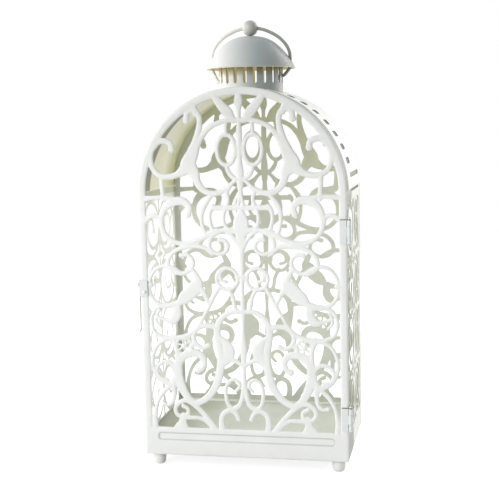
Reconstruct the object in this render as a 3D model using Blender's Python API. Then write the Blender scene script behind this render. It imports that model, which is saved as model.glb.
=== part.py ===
# Arched lantern with a hinged scrollwork door, scrollwork sides and back,
# a slotted chimney collar, a domed cap with a ball, and a wire bail.
# All driving sizes are real sizes in millimetres; geometry is built in metres.
# Frame: +Z up, the door faces -Y, the origin is centred under the feet.

import math

import bmesh
import bpy
import numpy as np
from mathutils import Matrix, Vector
from mathutils.geometry import delaunay_2d_cdt

for old in list(bpy.data.objects):
    bpy.data.objects.remove(old, do_unlink=True)

# Driving sizes, mm
BODY_W = 204.0          # width of the door and of the body
BODY_D = 133.0          # depth over the door and the back panel
DOOR_H = 362.6          # door's lower edge to the top of its arch
FOOT_H = 12.0           # clear height under the door
FRAME_T = 7.4           # width of the flat strip round the scrollwork
RAIL_H = 28.5           # height of the solid rail at the foot of the door
SHEET = 1.2             # side walls, vault, floor tray
PANEL = 1.5             # door and back panel
SIDE_BAND = 22.0        # solid band at the foot of a side wall
TOP_BAND = 11.0         # solid band at the top of a side wall
SIDE_EDGE = 8.0         # upright borders of a side wall
SIDE_ROWS = 4
FLOOR_Z = 20.5          # floor's top face above the door's lower edge
FOOT_R = 6.5
COLLAR_R = 32.0
COLLAR_T = 1.2
RIM_R = 45.0            # dome's rim
RIM_LIFT = 19.3         # rim above the top of the door
DOME_RISE = 32.5
BALL_R = 7.8
WIRE_R = 1.6
BAIL_STEP = 5.5         # how much higher the bail's right end enters the collar than its left end
GAP = 0.3               # gap kept between neighbouring pieces
BEAD_DEPTH = 0.8        # depth of the long bead pressed into the door's rail
DOOR_FIT = 0.75         # largest distance of a scroll's edge from its true curve
BACK_FIT = 1.0
SIDE_FIT = 1.0
CURVE_FIT = 0.25        # the same, for the strokes before they are joined

HALF = BODY_W / 2
RIM_Z = DOOR_H + RIM_LIFT
SPRING = DOOR_H - HALF
YF = -BODY_D / 2
YB = BODY_D / 2
Z0 = FOOT_H
MM = 0.001


def make_material(name, rgb, rough, metal):
    m = bpy.data.materials.new(name)
    m.use_nodes = True
    b = m.node_tree.nodes["Principled BSDF"]
    b.inputs["Base Color"].default_value = (rgb[0], rgb[1], rgb[2], 1)
    b.inputs["Roughness"].default_value = rough
    b.inputs["Metallic"].default_value = metal
    m.diffuse_color = (rgb[0], rgb[1], rgb[2], 1)
    return m


WHITE = (0.80, 0.80, 0.77)
BARE = (0.55, 0.54, 0.50)


def finish(name, bm, rgb=WHITE, rough=0.45, metal=0.0, smooth=None, carrier=None):
    me = bpy.data.meshes.new(name)
    bmesh.ops.recalc_face_normals(bm, faces=bm.faces[:])
    bm.to_mesh(me)
    bm.free()
    ob = bpy.data.objects.new(name, me)
    bpy.context.scene.collection.objects.link(ob)
    me.materials.append(make_material(name, rgb, rough, metal))
    if smooth is not None:
        me.polygons.foreach_set("use_smooth", [True] * len(me.polygons))
        me.set_sharp_from_angle(angle=math.radians(smooth))
    if carrier:
        ob.parent = carrier
        at = carrier.location + (carrier.parent.location if carrier.parent else Vector())
        ob.location = -at
    return ob


def axis_empty(name, at, carrier=None):
    """Empty on a joint's axis, at a point in mm; the pieces that turn hang from it."""
    e = bpy.data.objects.new(name, None)
    bpy.context.scene.collection.objects.link(e)
    e.empty_display_size = 0.02
    e.location = Vector(at) * MM
    if carrier:
        e.parent = carrier
        e.location -= carrier.location
    return e


# Scrollwork: strokes are drawn in millimetres on a flat sheet, u across, v up.

def curve(points, step=1.0):
    """Smooth curve through the points, with the share of its length at each."""
    if len(points) == 2:
        (x0, y0), (x1, y1) = points
        n = max(2, int(math.hypot(x1 - x0, y1 - y0) / 4))
        out = [(x0 + (x1 - x0) * i / n, y0 + (y1 - y0) * i / n) for i in range(n + 1)]
    else:
        first = (2 * points[0][0] - points[1][0], 2 * points[0][1] - points[1][1])
        last = (2 * points[-1][0] - points[-2][0], 2 * points[-1][1] - points[-2][1])
        p = [first] + list(points) + [last]
        out = []
        for i in range(1, len(p) - 2):
            k = max(2, int(math.dist(p[i], p[i + 1]) / step))
            for j in range(k):
                t = j / k
                q = []
                for c in (0, 1):
                    a, b, d, e = p[i - 1][c], p[i][c], p[i + 1][c], p[i + 2][c]
                    q.append(0.5 * (2 * b + (d - a) * t + (2 * a - 5 * b + 4 * d - e) * t * t
                                    + (3 * b - a - 3 * d + e) * t ** 3))
                out.append(tuple(q))
        out.append(tuple(points[-1]))
    return out


def thin(line, widths, tol):
    """Keep the points of a curve that its shape needs."""
    keep = {0, len(line) - 1}
    todo = [(0, len(line) - 1)]
    while todo:
        a, b = todo.pop()
        if b - a < 2:
            continue
        ax, ay = line[a]
        bx, by = line[b]
        n = math.hypot(bx - ax, by - ay) or 1e-9
        worst, at = 0.0, None
        for i in range(a + 1, b):
            d = abs((line[i][0] - ax) * (by - ay) - (line[i][1] - ay) * (bx - ax)) / n
            t = (i - a) / (b - a)
            d = max(d, abs(widths[i] - widths[a] * (1 - t) - widths[b] * t) / 2)
            if d > worst:
                worst, at = d, i
        if worst > tol:
            keep.add(at)
            todo += [(a, at), (at, b)]
    keep = sorted(keep)
    return [line[i] for i in keep], [widths[i] for i in keep]


def stroke(points, *w, knob=0.0):
    """Quads along a curve, its width running through the given values."""
    line = curve(points)
    run = [0.0]
    for a, b in zip(line, line[1:]):
        run.append(run[-1] + math.dist(a, b))
    widths = []
    for r in run:
        s = r / run[-1] * (len(w) - 1)
        i = min(int(s), len(w) - 2) if len(w) > 1 else 0
        if len(w) == 1:
            widths.append(w[0])
        else:
            t = s - i
            t = t * t * (3 - 2 * t)
            widths.append(w[i] * (1 - t) + w[i + 1] * t)
    line, widths = thin(line, widths, CURVE_FIT)
    left, right = [], []
    for i, (x, y) in enumerate(line):
        ax, ay = line[max(i - 1, 0)]
        bx, by = line[min(i + 1, len(line) - 1)]
        d = math.hypot(bx - ax, by - ay)
        nx, ny = -(by - ay) / d, (bx - ax) / d
        h = widths[i] / 2
        left.append((x + nx * h, y + ny * h))
        right.append((x - nx * h, y - ny * h))
    polys = [[left[i], left[i + 1], right[i + 1], right[i]] for i in range(len(line) - 1)]
    if knob:
        polys.append(disc(line[-1], knob))
    return polys


def disc(c, r, n=None, rz=None):
    n = n or max(8, int(math.pi / math.acos(1 - CURVE_FIT / r)) + 1)
    rz = rz or r
    return [(c[0] + r * math.cos(2 * math.pi * (i + 0.5) / n),
             c[1] + rz * math.sin(2 * math.pi * (i + 0.5) / n)) for i in range(n)]


def ring(c, r, w, rz=None):
    """Closed band round an ellipse."""
    rz = rz or r
    n = max(12, int(math.pi / math.acos(1 - CURVE_FIT / max(r, rz))) + 1)
    out = []
    for i in range(n):
        a0 = 2 * math.pi * i / n
        a1 = 2 * math.pi * (i + 1) / n
        out.append([(c[0] + (r + w / 2) * math.cos(a0), c[1] + (rz + w / 2) * math.sin(a0)),
                    (c[0] + (r + w / 2) * math.cos(a1), c[1] + (rz + w / 2) * math.sin(a1)),
                    (c[0] + (r - w / 2) * math.cos(a1), c[1] + (rz - w / 2) * math.sin(a1)),
                    (c[0] + (r - w / 2) * math.cos(a0), c[1] + (rz - w / 2) * math.sin(a0))])
    return out


def mirrored(polys):
    return polys + [[(-u, v) for u, v in reversed(p)] for p in polys]


def stretched(polys):
    """The strokes are drawn for a sheet 204 wide with its rail 28.5 high and its
    arch springing at 260.6; they stretch with the frame that they sit in."""
    across = HALF / 102
    up = (SPRING - RAIL_H) / 232.1

    def at(u, v):
        if v < 28.5:
            return u * across, RAIL_H + (v - 28.5)
        if v < 260.6:
            return u * across, RAIL_H + (v - 28.5) * up
        return u * across, SPRING + (v - 260.6) * across

    return [[at(u, v) for u, v in p] for p in polys]


def arched_scrollwork():
    """Scrollwork of the door and of the back: right half, then mirrored."""
    s = []
    # foot: hooks, rings, leaning scrolls and trunks on the rail
    s += stroke([(22.5, 26), (23.8, 36), (21.5, 44), (15, 47.5), (9.5, 45), (6.5, 39)], 6.3, 5.1, 4.1, knob=2.4)
    s += stroke([(11, 48), (16.5, 53), (18.5, 61), (18.5, 69), (15.5, 76), (10, 78.7), (5.2, 76)], 4.1, 3.6, 3.6)
    s += stroke([(5.2, 76), (4.8, 71.5), (8.6, 67)], 3.6, 3.2, 2.8)
    s += stroke([(12, 49), (6, 52), (3, 58), (1.5, 66), (0.4, 76), (0, 92)], 5.1, 4, 3.6)
    s += stroke([(29, 26), (36, 36), (43, 44.5), (50, 51), (57, 55.5), (63, 55.5), (68.5, 51.5), (70.5, 46),
                 (68, 41), (62, 39.5)], 5.8, 4.6, 4.1)
    s += stroke([(62, 40), (57.5, 43), (58, 48), (62.3, 50.3)], 4.6, 3.8, 3.6, knob=2.2)
    s += stroke([(31, 26), (38, 34.5), (46, 38.8), (54, 38.8), (62, 39)], 3.6, 3.8, 4.6)
    s += stroke([(65, 26), (63.5, 34), (62.5, 41)], 15.3, 8.3, 5.6)
    s += stroke([(91.5, 26), (91.5, 40), (89, 52), (84.5, 61), (78, 68), (72, 73)], 5.6, 3.6, 4.6)
    s += stroke([(72, 73), (71.3, 64), (72.5, 56), (76.5, 51.2), (82, 51.8)], 5.6, 4.2, 3.2, knob=2.1)
    # the large C scrolls
    s += stroke([(49, 53), (56, 57.5), (61.5, 66), (65.5, 76), (67, 86), (65.5, 95), (60, 101.5), (51, 104.5),
                 (43.5, 102.5), (40, 96.5), (41.5, 90), (46, 87)], 6.3, 9.6, 7.6, 5.4, knob=3.3)
    s += stroke([(50, 53), (41, 57), (34, 63.5), (28.5, 72), (25, 82), (23.2, 92), (23, 104), (25, 116),
                 (26, 127), (23, 137), (16, 143.8), (8, 146.5), (0, 146)], 6.3, 7.8, 6.8, 4.1)
    s += stroke([(26, 88), (17, 99), (14.5, 108), (19, 117), (25, 122)], 3.6, 11.3, 3.6)
    s += stroke([(16, 100), (8, 97), (0, 92)], 6.3, 4.1, 4.1)
    s += stroke([(0, 90), (0, 108), (0, 126), (0, 147)], 3.6, 6.8, 3.2, 4.6)
    # roundels down the side and the small ring beside the medallion
    s += stroke([(26, 130), (34, 132), (42, 131), (48, 126.5), (50, 119.5), (47, 113), (41, 110),
                 (35.5, 112.3)], 5.2, 4.6, 4.2, knob=2.6)
    s += stroke([(22, 171), (27, 163.5), (33, 152), (38, 143), (43, 134), (49, 126.5), (56, 122), (64, 119.7),
                 (72, 118.3)], 4, 3.4, 5.1)
    s += stroke([(66, 151), (78, 151.5), (86.5, 148.5), (91.3, 141), (91.8, 131), (88, 123.5), (80, 119.7),
                 (70, 118.5)], 5.6, 3.6, 3.6, 4.6)
    s += stroke([(65.5, 153), (66, 143), (71, 136.5), (79, 137.5), (86.5, 141), (84, 146.5)], 7.3, 9.3, 3.2, 2.8)
    s += stroke([(86.5, 141), (87.5, 136), (83, 131)], 3, 2.8)
    s += stroke([(70, 119), (78, 117.5), (86, 112.5), (91.2, 103), (92.2, 92), (89, 81), (82, 74.5),
                 (72, 72.5)], 5.1, 3.6, 3.6, 5.1)
    s += stroke([(71, 119), (67.8, 110), (66.5, 96)], 5.6, 3.6, 5.6)
    s += stroke([(68, 88), (74, 94), (81, 94.6), (87, 90.5), (88.2, 84), (84.5, 78.2),
                 (78.5, 76.2)], 5.6, 3.8, 3.6, 3.6, knob=2.4)
    s += stroke([(66, 86), (70, 78), (73, 71)], 8.3, 6.3, 6.3)
    # rosette
    s += ring((60, 111.3), 8, 2.6)
    for k in range(3):
        a = math.radians(20 + 60 * k)
        s += stroke([(60 - 8 * math.cos(a), 111.3 - 8 * math.sin(a)),
                     (60 + 8 * math.cos(a), 111.3 + 8 * math.sin(a))], 1.8)
    s.append(disc((60, 111.3), 2.4))
    s += stroke([(48, 113.5), (53, 111.3)], 4.1)
    # stem, small ring and leaves over the medallion
    s += stroke([(0, 145), (0, 165), (0, 186), (0, 206), (0, 224)], 4.6, 3.8, 4.6, 5.6, 7.3)
    s += ring((14.8, 178.6), 10.5, 3.7)
    s += stroke([(17, 189), (21.5, 184), (21, 177.5), (16, 175.5)], 3.6, 3.2, 3, knob=1.9)
    s += stroke([(14, 169), (9.3, 160), (8, 152), (5, 145.5)], 3.6, 4, 3.6)
    s += stroke([(0, 181), (5, 180)], 4.6)
    s += stroke([(50, 189), (46, 182), (43.5, 175), (48, 168.5), (56, 161), (65, 153.5)], 3.6, 6.3, 14.3, 13.3, 5.6)
    s += stroke([(46, 169), (39, 165), (33, 153)], 8.3, 4.6, 3.6)
    # C scroll and large roundel
    s += stroke([(29.5, 203), (36, 208.8), (46, 210.3), (57, 209.3), (66, 205.8), (72.2, 199.5), (73.7, 192),
                 (69.5, 186), (62, 183.5), (54.5, 185), (49, 190.5), (49, 197.3), (54, 201.8),
                 (60.5, 201.3)], 3.8, 4.2, 4.4, 4, 3.6, knob=2.4)
    s += stroke([(62, 184), (70, 188.8), (79, 190.6), (87, 187), (92.4, 178.5), (93.5, 168), (90.5, 158.7),
                 (84, 152.8), (76, 150.8), (68, 153.5)], 5.1, 3.8, 3.6, 5.1)
    s += stroke([(92, 172), (96, 172)], 5.6)
    # spiral and the great ring
    s += stroke([(0, 223), (7, 225.5), (14, 226.4), (22, 224.8), (29, 220), (32, 212.5), (29.5, 205.7),
                 (22, 202.7), (15.5, 205.2), (13.2, 211), (16.5, 216), (21.5, 216.6)], 5.6, 4.4, 3.8, 3.4, knob=2.3)
    s += stroke([(0, 206), (3.6, 213), (9, 220.5), (15, 225)], 4.6, 3.6, 3.6)
    s += stroke([(24, 225), (32, 222), (40, 217.5), (50, 214), (60, 213), (69, 216), (76, 222.5), (79.3, 231),
                 (78.8, 240), (74.5, 248.5), (66, 254), (57, 254), (51.2, 248.5),
                 (52.3, 241)], 6.5, 4.6, 4.6, 5.2, 8.6, 5.6, knob=3.0)
    s += stroke([(79, 235.5), (84, 239.6), (90, 239.3), (96, 235)], 4.6, 4.2, 5.6)
    # palmette over the spiral
    s += stroke([(0, 215), (0, 230), (0, 248)], 8.3, 15.3, 4.6)
    s += stroke([(12, 225.5), (16.6, 232.5), (17, 240), (15, 247)], 3.6, 3.4, 3.6)
    s += stroke([(27, 222), (30.4, 234), (30.5, 243), (27, 249)], 4.6, 3.4, 4.6)
    s += stroke([(35, 221), (38.5, 232), (38.5, 243), (34, 253), (27, 261)], 4.6, 3.6, 5.6, 3.6)
    s += stroke([(0, 247.7), (14, 247.7), (28, 247.7)], 5)
    s += stroke([(14, 248), (12, 256), (14, 264)], 4.6, 3.4, 4.6)
    s += stroke([(3, 248), (1, 258), (0, 272)], 3.6, 3.6, 4.1)
    # upper trunk, great circle, hooks and the oval medallions
    s += stroke([(51, 290), (44.5, 281), (41.8, 272), (36.5, 265), (28, 261.5), (20, 262.7),
                 (12, 266.5)], 14, 7, 5.6, 4.8)
    s += ring((13, 303.2), 9, 4.1, 14.6)
    s += stroke([(0, 268), (0, 290), (0, 315), (0, 333)], 6.4, 7.4, 4.6, 5.4, 5.6, 3.6)
    s += stroke([(0, 274), (7, 277), (11.5, 283), (13, 289)], 3.6, 4.6, 3.6)
    s += stroke([(12, 266), (7, 272), (1, 276)], 4.6, 3.6, 3.6)
    s += stroke([(0, 305), (4, 304)], 3.6)
    s += stroke([(13, 317), (13, 324), (12, 331)], 3.6, 3.2, 3.6)
    s += stroke([(0, 331), (10, 331.3), (20, 329), (29, 324.5), (36, 317), (41, 308), (45.5, 299),
                 (51, 290)], 4.8, 4.8, 5.6, 13)
    s += stroke([(52, 290), (48, 301), (43.3, 311), (40, 321), (38.3, 330), (39.8, 337.5), (44.8, 341.2),
                 (50.3, 339), (51.8, 331.5)], 13, 7.4, 6.2, 5.6, 5.4, 5.4, knob=3.1)
    s += stroke([(42, 338.5), (45, 346)], 6.3)
    s += stroke([(50, 289), (57, 283), (65, 279), (74, 278), (82, 281), (87, 288), (88.5, 297), (86.3, 305.3),
                 (80.8, 311.2), (74, 312.6), (68.2, 310), (67, 304.5)], 13, 6, 5.2, 5.6, 5.8, 5.8, knob=3.3)
    s += stroke([(83, 308.5), (88.3, 303.5)], 5.6, 6.3)
    s += stroke([(78, 279), (77.5, 268), (76.5, 256)], 4.6, 4.4, 5)
    s += stroke([(66, 255.5), (76, 258), (86, 257.8), (96, 257)], 5.6, 4.2, 5.1)
    # fan under the crown
    s += stroke([(0, 331), (0, 344), (0, 358)], 3.8, 4.0, 8.4, 4.8)
    s += stroke([(5, 331), (10.5, 338), (16.5, 345), (24.5, 355)], 5.6, 10.2, 8.4, 4.8)
    return mirrored(stretched(s))


def side_scrollwork(half, low, high):
    """Rows of paired spirals on a stem, between two borders."""
    s = []
    rows = SIDE_ROWS
    pitch = (high - low) / rows
    r = pitch / 2 - 1.0
    c = half - r - 1.2
    for k in range(rows):
        z = low + pitch * (k + 0.5)
        up = 1 if k % 2 == 0 else -1
        s += ring((c, z), r, 3.4)
        s += stroke([(c - r, z), (c - r * 0.62, z + up * r * 0.62), (c + r * 0.02, z + up * r * 0.66),
                     (c + r * 0.5, z + up * r * 0.2), (c + r * 0.36, z - up * r * 0.34),
                     (c - r * 0.12, z - up * r * 0.36), (c - r * 0.3, z + up * r * 0.08)],
                    4, 3.4, 3, 2.8, knob=2.4)
        s += stroke([(c + r * 0.46, z - up * r * 0.05), (c + r * 0.72, z - up * r * 0.35),
                     (c + r * 0.7, z - up * r * 0.72)], 3, 4.5, 3)
        s += stroke([(c + r - 1, z), (half + 2, z)], 5)
        s += stroke([(0, z), (c - r + 1, z)], 4)
        if k:
            s += stroke([(0, z - pitch / 2), (c - r * 0.7, z - pitch / 2)], 3, 4)
            s += stroke([(c + r * 0.5, z - pitch / 2), (half + 2, z - pitch / 2)], 4, 5)
    s += stroke([(0, low - 2), (0, (low + high) / 2), (0, high + 2)], 3.2)
    return mirrored(s)


def covered(centres, polys):
    """Which points lie in any of the polygons."""
    hit = np.zeros(len(centres), bool)
    for p in polys:
        a = np.array(p)
        low, high = a.min(0), a.max(0)
        near = np.nonzero(~hit & (centres > low).all(1) & (centres < high).all(1))[0]
        if len(near) == 0:
            continue
        c = centres[near]
        odd = np.zeros(len(near), bool)
        for (x0, y0), (x1, y1) in zip(p, p[1:] + p[:1]):
            if y0 == y1:
                continue
            side = (y0 > c[:, 1]) != (y1 > c[:, 1])
            odd ^= side & (c[:, 0] < x0 + (c[:, 1] - y0) / (y1 - y0) * (x1 - x0))
        hit[near[odd]] = True
    return hit


def triangulated(points, edges, merge_within):
    out = delaunay_2d_cdt([Vector(v) for v in points], edges, [], 0, merge_within, False)
    pts = np.array([tuple(v) for v in out[0]])
    tris = np.array([tuple(t) for t in out[2]])
    return pts, tris, pts[tris].mean(1)


def plain_loop(loop, tol):
    """A closed outline with the points that its shape needs."""
    far = max(range(len(loop)), key=lambda i: math.dist(loop[0], loop[i]))
    zeros = [0.0] * (len(loop) + 1)
    one, _ = thin(loop[:far + 1], zeros, tol)
    two, _ = thin(loop[far:] + loop[:1], zeros, tol)
    return one[:-1] + two[:-1]


def loop_area(loop):
    return sum(a[0] * b[1] - b[0] * a[1] for a, b in zip(loop, loop[1:] + loop[:1])) / 2


def closed_edges(polys):
    points, edges = [], []
    for p in polys:
        base = len(points)
        points += p
        edges += [(base + i, base + (i + 1) % len(p)) for i in range(len(p))]
    return points, edges


def rim(tris):
    """Edges round the triangles, each start with its end, and the corners
    where two outlines touch."""
    edges = set()
    for t in tris:
        edges |= {(t[0], t[1]), (t[1], t[2]), (t[2], t[0])}
    following, pinched = {}, set()
    for a, b in sorted(edges):
        if (b, a) not in edges:
            if a in following:
                pinched.add(a)
            following[a] = b
    return following, sorted(pinched)


def outlines(polys, tol):
    """Closed outlines of the union of overlapping polygons."""
    polys = list(polys)
    for _ in range(5):
        pts, tris, centres = triangulated(*closed_edges(polys), 0.02)
        following, pinched = rim(tris[covered(centres, polys)])
        if not pinched:
            break
        polys += [disc(tuple(pts[v]), 0.9, 8) for v in pinched]
    loops = []
    while following:
        start, at = following.popitem()
        loop = [start]
        while at != start:
            loop.append(at)
            at = following.pop(at)
        loop = [tuple(float(c) for c in pts[v]) for v in loop]
        if abs(loop_area(loop)) > 3.0:
            loops.append(plain_loop(loop, tol))
    return loops


def sheet_union(polys, fit, lines=()):
    """One flat region out of overlapping polygons: its points and triangles.
    Extra closed lines are kept as edges inside the region."""
    loops = outlines(polys, fit)
    bridges = []
    for _ in range(5):
        pts, tris, centres = triangulated(*closed_edges(loops + bridges + list(lines)), 1e-5)
        inside = np.zeros(len(tris), bool)
        for loop in loops:
            inside ^= covered(centres, [loop])
        tris = tris[inside | covered(centres, bridges)]
        pinched = rim(tris)[1]
        if not pinched:
            break
        bridges += [disc(tuple(float(c) for c in pts[v]), 0.9, 8) for v in pinched]
    return pts, tris


def slab(polys, place, thick, fit, lines=(), press=None):
    """Extrude a flat region; place(u, v, w) gives the point at depth w in mm."""
    pts, tris = sheet_union(polys, fit, lines)
    bm = bmesh.new()
    front, back = {}, {}
    for t in tris:
        for i in t:
            if i not in front:
                u, v = pts[i]
                d = press(u, v) if press else 0.0
                front[i] = bm.verts.new(Vector(place(u, v, d)) * MM)
                back[i] = bm.verts.new(Vector(place(u, v, thick + d)) * MM)
    for t in tris:
        bm.faces.new([front[i] for i in t])
        bm.faces.new([back[i] for i in reversed(t)])
    for a, b in rim(tris)[0].items():
        bm.faces.new([front[b], front[a], back[a], back[b]])
    return bm


def rect(u0, v0, u1, v1):
    return [(u0, v0), (u1, v0), (u1, v1), (u0, v1)]


def arch_frame(segments=40):
    """Frame strip with a semicircular head, and the foot rail, as polygons."""
    inner = HALF - FRAME_T
    polys = [rect(-HALF, 0, HALF, RAIL_H), rect(-HALF, 0, -inner, SPRING), rect(inner, 0, HALF, SPRING)]
    for i in range(segments):
        a0 = math.pi * i / segments
        a1 = math.pi * (i + 1) / segments
        polys.append([(HALF * math.cos(a0), SPRING + HALF * math.sin(a0)),
                      (HALF * math.cos(a1), SPRING + HALF * math.sin(a1)),
                      (inner * math.cos(a1), SPRING + inner * math.sin(a1)),
                      (inner * math.cos(a0), SPRING + inner * math.sin(a0))])
    return polys


def rounded_bar(u0, v0, u1, v1, r, n=3):
    out = []
    for cx, cy, a in ((u1 - r, v0 + r, -90), (u1 - r, v1 - r, 0), (u0 + r, v1 - r, 90), (u0 + r, v0 + r, 180)):
        for i in range(n + 1):
            b = math.radians(a + 90 * i / n)
            out.append((cx + r * math.cos(b), cy + r * math.sin(b)))
    return out


def lathe(profile, segments, centre=(0, 0, 0), axis="z"):
    """Turned solid: the closed profile lists (radius, height) in mm."""
    bm = bmesh.new()
    rings = []
    for r, h in profile:
        if r < 1e-6:
            rings.append([bm.verts.new((0, 0, h * MM))])
        else:
            rings.append([bm.verts.new((r * math.cos(2 * math.pi * k / segments) * MM,
                                        r * math.sin(2 * math.pi * k / segments) * MM, h * MM))
                          for k in range(segments)])
    n = len(rings)
    for i in range(n):
        a, b = rings[i], rings[(i + 1) % n]
        if len(a) == 1 and len(b) == 1:
            continue
        for k in range(segments):
            k2 = (k + 1) % segments
            if len(a) == 1:
                bm.faces.new((a[0], b[k], b[k2]))
            elif len(b) == 1:
                bm.faces.new((a[k], b[0], a[k2]))
            else:
                bm.faces.new((a[k], b[k], b[k2], a[k2]))
    turn = Matrix.Identity(4)
    if axis == "x":
        turn = Matrix.Rotation(math.pi / 2, 4, "Y")
    if axis == "y":
        turn = Matrix.Rotation(-math.pi / 2, 4, "X")
    bmesh.ops.transform(bm, matrix=Matrix.Translation(Vector(centre) * MM) @ turn, verts=bm.verts[:])
    return bm


def box(x0, y0, z0, x1, y1, z1):
    bm = bmesh.new()
    bmesh.ops.create_cube(bm, size=1.0)
    for v in bm.verts:
        v.co = Vector(((x0 + x1) / 2 + v.co.x * (x1 - x0), (y0 + y1) / 2 + v.co.y * (y1 - y0),
                       (z0 + z1) / 2 + v.co.z * (z1 - z0))) * MM
    return bm


def prism(outline, place, thick):
    """Extruded outline; place(u, v, w) gives the point."""
    bm = bmesh.new()
    low = [bm.verts.new(Vector(place(u, v, 0)) * MM) for u, v in outline]
    top = [bm.verts.new(Vector(place(u, v, thick)) * MM) for u, v in outline]
    bm.faces.new(low)
    bm.faces.new(top[::-1])
    for i in range(len(outline)):
        j = (i + 1) % len(outline)
        bm.faces.new((low[j], low[i], top[i], top[j]))
    return bm


def merge(bms):
    """Put several separate cutter shapes in one mesh."""
    out = bmesh.new()
    for b in bms:
        me = bpy.data.meshes.new("tmp")
        b.to_mesh(me)
        b.free()
        out.from_mesh(me)
        bpy.data.meshes.remove(me)
    return out


def cut(ob, bm, name):
    me = bpy.data.meshes.new(name)
    bmesh.ops.recalc_face_normals(bm, faces=bm.faces[:])
    bm.to_mesh(me)
    bm.free()
    c = bpy.data.objects.new(name, me)
    bpy.context.scene.collection.objects.link(c)
    c.hide_render = True
    c.display_type = "WIRE"
    m = ob.modifiers.new(name, "BOOLEAN")
    m.operation = "DIFFERENCE"
    m.solver = "EXACT"
    m.object = c


def tube(points, r, sides=10):
    """Round wire along a smooth run of points, mm, with flat ends."""
    bm = bmesh.new()
    pts = [Vector(p) for p in points]
    rings = []
    up = Vector((0, 1, 0))
    for i, p in enumerate(pts):
        t = (pts[min(i + 1, len(pts) - 1)] - pts[max(i - 1, 0)]).normalized()
        side = t.cross(up).normalized()
        nrm = side.cross(t).normalized()
        rings.append([bm.verts.new((p + r * (math.cos(2 * math.pi * k / sides) * side
                                             + math.sin(2 * math.pi * k / sides) * nrm)) * MM)
                      for k in range(sides)])
    for a, b in zip(rings, rings[1:]):
        for k in range(sides):
            k2 = (k + 1) % sides
            bm.faces.new((a[k], a[k2], b[k2], b[k]))
    bm.faces.new(rings[0][::-1])
    bm.faces.new(rings[-1])
    return bm


# Floor tray: an inverted pan between the side walls
IN_X = HALF - SHEET - GAP
BODY_YF = YF + PANEL + GAP
BODY_YB = YB - PANEL - GAP
TRAY_YF = BODY_YF + BEAD_DEPTH
tray = finish("base_tray", box(-IN_X, TRAY_YF, Z0, IN_X, BODY_YB, Z0 + FLOOR_Z))
cut(tray, box(-IN_X + SHEET, TRAY_YF + SHEET, Z0 - 5, IN_X - SHEET, BODY_YB - SHEET, Z0 + FLOOR_Z - SHEET),
    "cut_tray_inside")

# Feet: turned posts under the tray's corners, each held by a screw from above
FOOT_X = HALF - 11
FOOT_Y = YB - 10.5
SCREW_R = 1.9
foot_top = Z0 + FLOOR_Z - SHEET - GAP
foot_profile = [(0, 0), (3.6, 0), (5.2, 0.7), (6.2, 2.4), (FOOT_R, 5), (FOOT_R, FOOT_H), (5.0, FOOT_H + 1),
                (5.0, foot_top), (SCREW_R + 0.15, foot_top), (SCREW_R + 0.15, foot_top - 10), (0, foot_top - 10)]
screw_profile = [(0, foot_top - 9.5), (SCREW_R, foot_top - 9.5), (SCREW_R, Z0 + FLOOR_Z + GAP),
                 (3.4, Z0 + FLOOR_Z + GAP), (3.3, Z0 + FLOOR_Z + 1.3), (2.3, Z0 + FLOOR_Z + 2.2),
                 (0, Z0 + FLOOR_Z + 2.5)]
holes = []
for name, sx, sy in (("front_left", -1, -1), ("front_right", 1, -1), ("rear_left", -1, 1), ("rear_right", 1, 1)):
    at = (sx * FOOT_X, sy * FOOT_Y, 0)
    finish("foot_" + name, lathe(foot_profile, 14, at), smooth=35)
    finish("foot_screw_" + name, lathe(screw_profile, 12, at), BARE, 0.35, 0.9, smooth=35)
    holes.append(lathe([(0, Z0 + 10), (SCREW_R + 0.3, Z0 + 10), (SCREW_R + 0.3, Z0 + 30), (0, Z0 + 30)], 16, at))
cut(tray, merge(holes), "cut_tray_holes")

# Vault: barrel roof over the side walls
VAULT_N = 32
a_low = math.asin((1.4 + GAP) / HALF)
arc = [a_low + (math.pi - 2 * a_low) * i / VAULT_N for i in range(VAULT_N + 1)]
outline = [(HALF * math.cos(a), SPRING + HALF * math.sin(a)) for a in arc]
outline += [((HALF - SHEET) * math.cos(a), SPRING + (HALF - SHEET) * math.sin(a)) for a in reversed(arc)]
bm = bmesh.new()
near = [bm.verts.new(Vector((u, BODY_YF, Z0 + v)) * MM) for u, v in outline]
far = [bm.verts.new(Vector((u, BODY_YB, Z0 + v)) * MM) for u, v in outline]
ends = len(outline)
for i in range(ends):
    j = (i + 1) % ends
    bm.faces.new((near[i], near[j], far[j], far[i]))
for i in range(VAULT_N):
    for s in (near, far):
        bm.faces.new((s[i], s[i + 1], s[ends - 2 - i], s[ends - 1 - i]))
vault = finish("vault", bm, smooth=30)

# Marks pressed into the roof's outside: a row of ovals down each side of the
# collar, and a long one above each side wall
PRESS = 0.7             # depth of a mark
OVAL_PITCH = 8.15       # degrees round the roof from one oval to the next
OVAL_L = 6.4
OVAL_FROM = YF + 42.5
OVAL_TO = YF + 67.5
EAVE_ANGLE = 81.5       # degrees from the top of the roof to the long mark
EAVE_W = 4.6
EAVE_FROM = YF + 46.5
EAVE_TO = YB - 10.5


def mark(angle, length, y0, y1, r):
    """Cutter for a mark at an angle in degrees from the top of the roof."""
    a = math.radians(90 - angle)
    b = prism(rounded_bar(-length / 2, y0, length / 2, y1, r, 2), lambda u, v, w: (u, v, w - PRESS), 4)
    mat = Matrix.Translation(Vector((HALF * math.cos(a), 0, Z0 + SPRING + HALF * math.sin(a))) * MM)
    bmesh.ops.transform(b, matrix=mat @ Matrix.Rotation(math.pi / 2 - a, 4, "Y"), verts=b.verts[:])
    return b


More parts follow.
